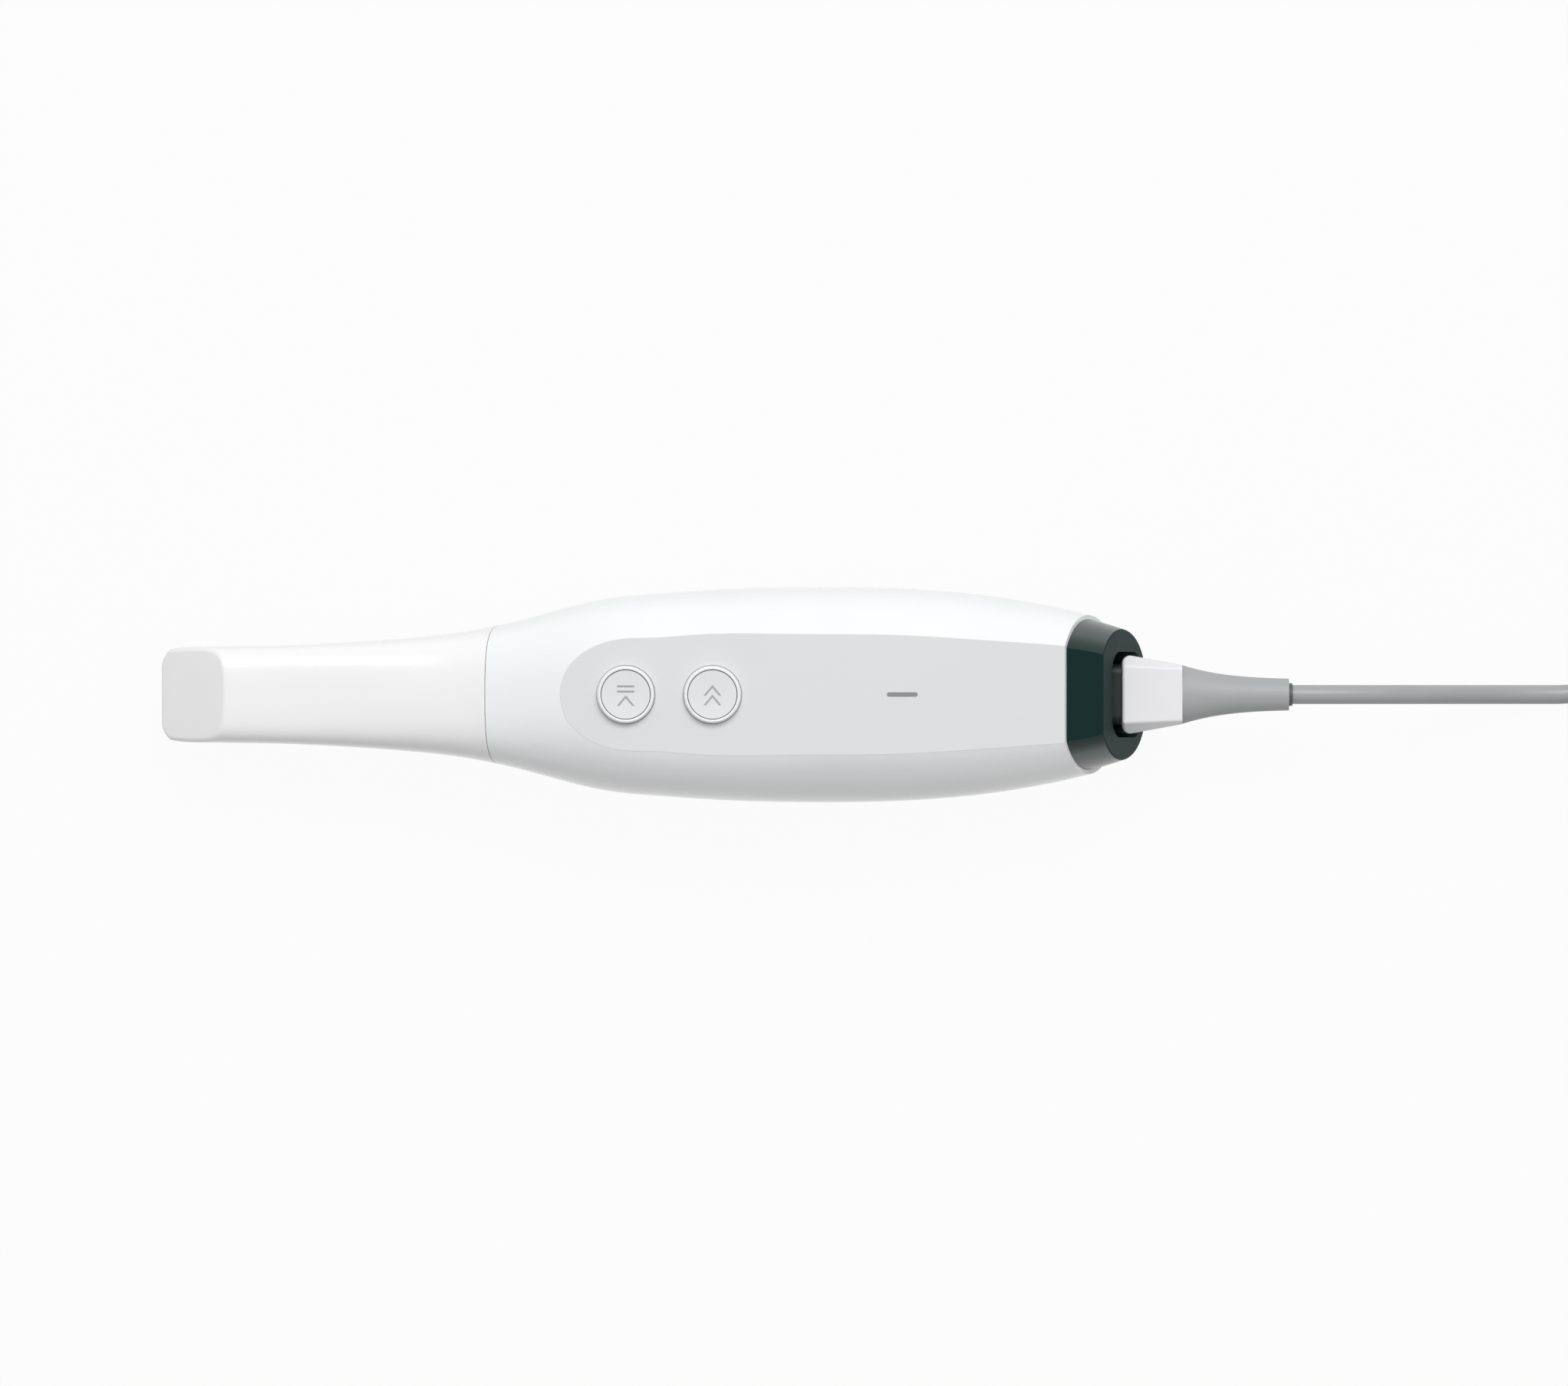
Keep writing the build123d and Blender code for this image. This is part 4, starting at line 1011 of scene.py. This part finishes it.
@dataclass
class PushButtons:
    """The two buttons: their caps, bezels and switches, and the mark printed on each cap."""

    stroke: float = 0.36 * MM
    chevron_half: float = 1.92 * MM
    chevron_rise: float = 1.2
    square_half: float = 2.4 * MM
    bar_length: float = 3.8 * MM
    bar_width: float = 0.4 * MM
    ink: float = 0.03 * MM
    lift: float = 0.01 * MM
    clear: float = 1.0 * MM
    cuts: int = 6

    def build(self) -> None:
        """Dress the buttons and print their marks."""
        dress_nodes(BUTTON, "front_button_cap", "rear_button_cap")
        dress_nodes(BEZEL, "front_bezel", "rear_bezel")
        dress_nodes(CHIP, "front_switch_case", "rear_switch_case")
        dress_nodes(NOSE, "front_switch_plunger", "rear_switch_plunger")
        self.mark("front", Mark.BARS_OVER_CHEVRON, Body.FRONT_BUTTON)
        self.mark("rear", Mark.TWO_CHEVRONS, Body.REAR_BUTTON)

    def mark(self, side: str, mark: Mark, body: Body) -> None:
        """Print one mark on a cap.

        Args:
            side: Which button.
            mark: The mark's strokes.
            body: The button's body.
        """
        low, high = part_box(f"{side}_button_cap")
        middle = (low + high) / 2
        middle.z = high.z + self.clear
        chevrons, bars = mark.value
        strokes = [self.chevron(middle, apex * MM) for apex in chevrons]
        strokes += [self.bar(middle, place * MM) for place in bars]
        inked = joined(f"{side}_mark", strokes)
        with editing(inked):
            bpy.ops.mesh.subdivide(number_cuts=self.cuts)
        apply_modifier(
            inked,
            "SHRINKWRAP",
            target=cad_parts[f"{side}_button_cap"],
            wrap_method="PROJECT",
            use_project_z=True,
            use_negative_direction=True,
            use_positive_direction=False,
            offset=self.lift,
        )
        apply_modifier(inked, "SOLIDIFY", thickness=self.ink, offset=1.0)
        dress(inked, INK, body)

    def chevron(self, middle: Vector, apex: float) -> bpy.types.Object:
        """A chevron that points to +Y, cut from a square frame that stands on its corner.

        Args:
            middle: The cap's middle.
            apex: How far the chevron's apex lies from it along Y.

        Returns:
            The chevron, flat.
        """
        top = middle + Vector((0, apex, 0))
        bpy.ops.mesh.primitive_plane_add(
            size=self.square_half * math.sqrt(2),
            location=top - Vector((0, self.square_half, 0)),
            rotation=(0, 0, math.pi / 4),
        )
        stroke = started("chevron")
        with editing(stroke):
            bpy.ops.mesh.inset(thickness=self.stroke)
            bpy.ops.mesh.delete(type="FACE")
            bpy.ops.mesh.select_all(action="SELECT")
            bpy.ops.mesh.bisect(
                plane_co=top - Vector((0, self.chevron_half, 0)), plane_no=(0, 1, 0), clear_inner=True
            )
            bpy.ops.mesh.select_all(action="SELECT")
            bpy.ops.transform.resize(value=(1, self.chevron_rise, 1), center_override=top)
        return stroke

    def bar(self, middle: Vector, place: float) -> bpy.types.Object:
        """A short bar across the cap.

        Args:
            middle: The cap's middle.
            place: How far the bar lies from it along Y.

        Returns:
            The bar, flat.
        """
        bpy.ops.mesh.primitive_plane_add(size=1, location=middle + Vector((0, place, 0)))
        stroke = bpy.context.active_object
        stroke.scale = (self.bar_length, self.bar_width, 1)
        stroke = started("bar")
        with editing(stroke):
            bpy.ops.mesh.bevel(offset=self.bar_width / 4, segments=3, affect="VERTICES")
        return stroke


@dataclass
class Handpiece:
    """The shells, the status light, the rear cap and its socket."""

    contacts: int = 6
    contact_pitch: float = 0.95 * MM
    contact_size: Point = (3.4 * MM, 0.4 * MM, 0.12 * MM)
    contact_inset: float = 0.3 * MM

    def build(self) -> None:
        """Dress the housing and set the socket's contacts."""
        dress_nodes(SHELL, "upper_shell")
        dress_nodes(LOWER_SHELL, "lower_shell")
        dress_nodes(CAP, "rear_cap")
        dress_nodes(LIGHT_GUIDE, "status_light", "status_lamp")
        dress_nodes(NICKEL, "socket_shell")
        dress_nodes(CHIP, "socket_tongue")
        self.socket_contacts()

    def socket_contacts(self) -> None:
        """Rows of contacts on both faces of the socket's tongue."""
        low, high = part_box("socket_tongue")
        first = -(self.contacts - 1) / 2 * self.contact_pitch
        start = Vector((high.x - self.contact_size[0] / 2 - self.contact_inset, first, high.z))
        bpy.ops.mesh.primitive_cube_add(size=1, location=start)
        contact = bpy.context.active_object
        contact.scale = self.contact_size
        contact = started("contact")
        with editing(contact):
            bpy.ops.mesh.bevel(offset=self.contact_size[2] / 4, segments=2, affect="EDGES")
        row = [contact]
        row += [copied(contact, (0, i * self.contact_pitch, 0)) for i in range(1, self.contacts)]
        upper = joined("contact_row", row)
        lower = copied(upper, (0, 0, low.z - high.z))
        both = joined("socket_contacts", [upper, lower])
        dress(both, GOLD, Body.HANDPIECE)


@dataclass
class MirrorTip:
    """The sleeve, which meets the housing all round on the slanted seam, and its mirror."""

    rim_x: float = -34.0 * MM
    seam_height: float = 21.13 * MM
    seam_tilt: float = 11.7
    weld: float = 0.002 * MM
    wall_limit: float = 0.9
    smooth_angle: float = 30.0

    def build(self) -> None:
        """Build the sleeve and dress the tip."""
        sleeve = self.sleeve()
        dress(sleeve, TIP, Body.MIRROR_TIP)
        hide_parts("tip_sleeve")
        dress_nodes(MIRROR, "tip_mirror")

    def sleeve(self) -> bpy.types.Object:
        """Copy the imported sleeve, and draw its lower rim back along its walls to the seam.

        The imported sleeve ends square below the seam's middle, where the real one follows the seam.

        Returns:
            The sleeve.
        """
        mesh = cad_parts["tip_sleeve"].data.copy()
        sleeve = bpy.data.objects.new("sleeve", mesh)
        bpy.context.scene.collection.objects.link(sleeve)
        slope = math.tan(math.radians(self.seam_tilt))
        with editing(sleeve):
            bpy.ops.mesh.customdata_custom_splitnormals_clear()
            bpy.ops.mesh.remove_doubles(threshold=self.weld)
            shape = bmesh.from_edit_mesh(mesh)
            for corner in shape.verts:
                below = self.seam_height - corner.co.z
                if abs(corner.co.x - self.rim_x) > self.weld or below <= 0:
                    continue
                walls = [face.normal for face in corner.link_faces if face.normal.x < self.wall_limit]
                wall = sum(walls, Vector())
                rise = -wall.x / (wall.y**2 + wall.z**2)
                along = Vector((1, rise * wall.y, rise * wall.z))
                corner.co += along * (below * slope / (1 + along.z * slope))
            bmesh.update_edit_mesh(mesh)
        bpy.ops.object.shade_smooth_by_angle(angle=math.radians(self.smooth_angle))
        return sleeve


@dataclass
class Works:
    """Nose, optics, frame and boards inside the shells."""

    def build(self) -> None:
        """Dress the works."""
        dress_nodes(NOSE, "nose_tube")
        dress_nodes(SEAL, "nose_seal")
        dress_nodes(WINDOW, "nose_window")
        dress_nodes(LENS, "projector_lens", "left_camera_lens", "right_camera_lens")
        dress_nodes(BLACK_METAL, "projector_barrel", "left_camera_barrel", "right_camera_barrel")
        dress_nodes(ALUMINIUM, "optical_frame", "heat_sink", "light_engine")
        dress_nodes(STEEL, "board_screws", "frame_screws")
        dress_nodes(BOARD, "button_board", "sensor_board", "main_board")
        dress_nodes(CHIP, "image_processor")


def main() -> None:
    """Build the scene in order."""
    logging.basicConfig(level=logging.INFO, format="%(name)s: %(message)s")
    bpy.ops.object.select_all(action="DESELECT")
    bpy.context.scene.view_settings.view_transform = "Standard"
    Studio().build()
    CableLead().build()
    PushButtons().build()
    Handpiece().build()
    MirrorTip().build()
    Works().build()


if __name__ == "__main__":
    main()
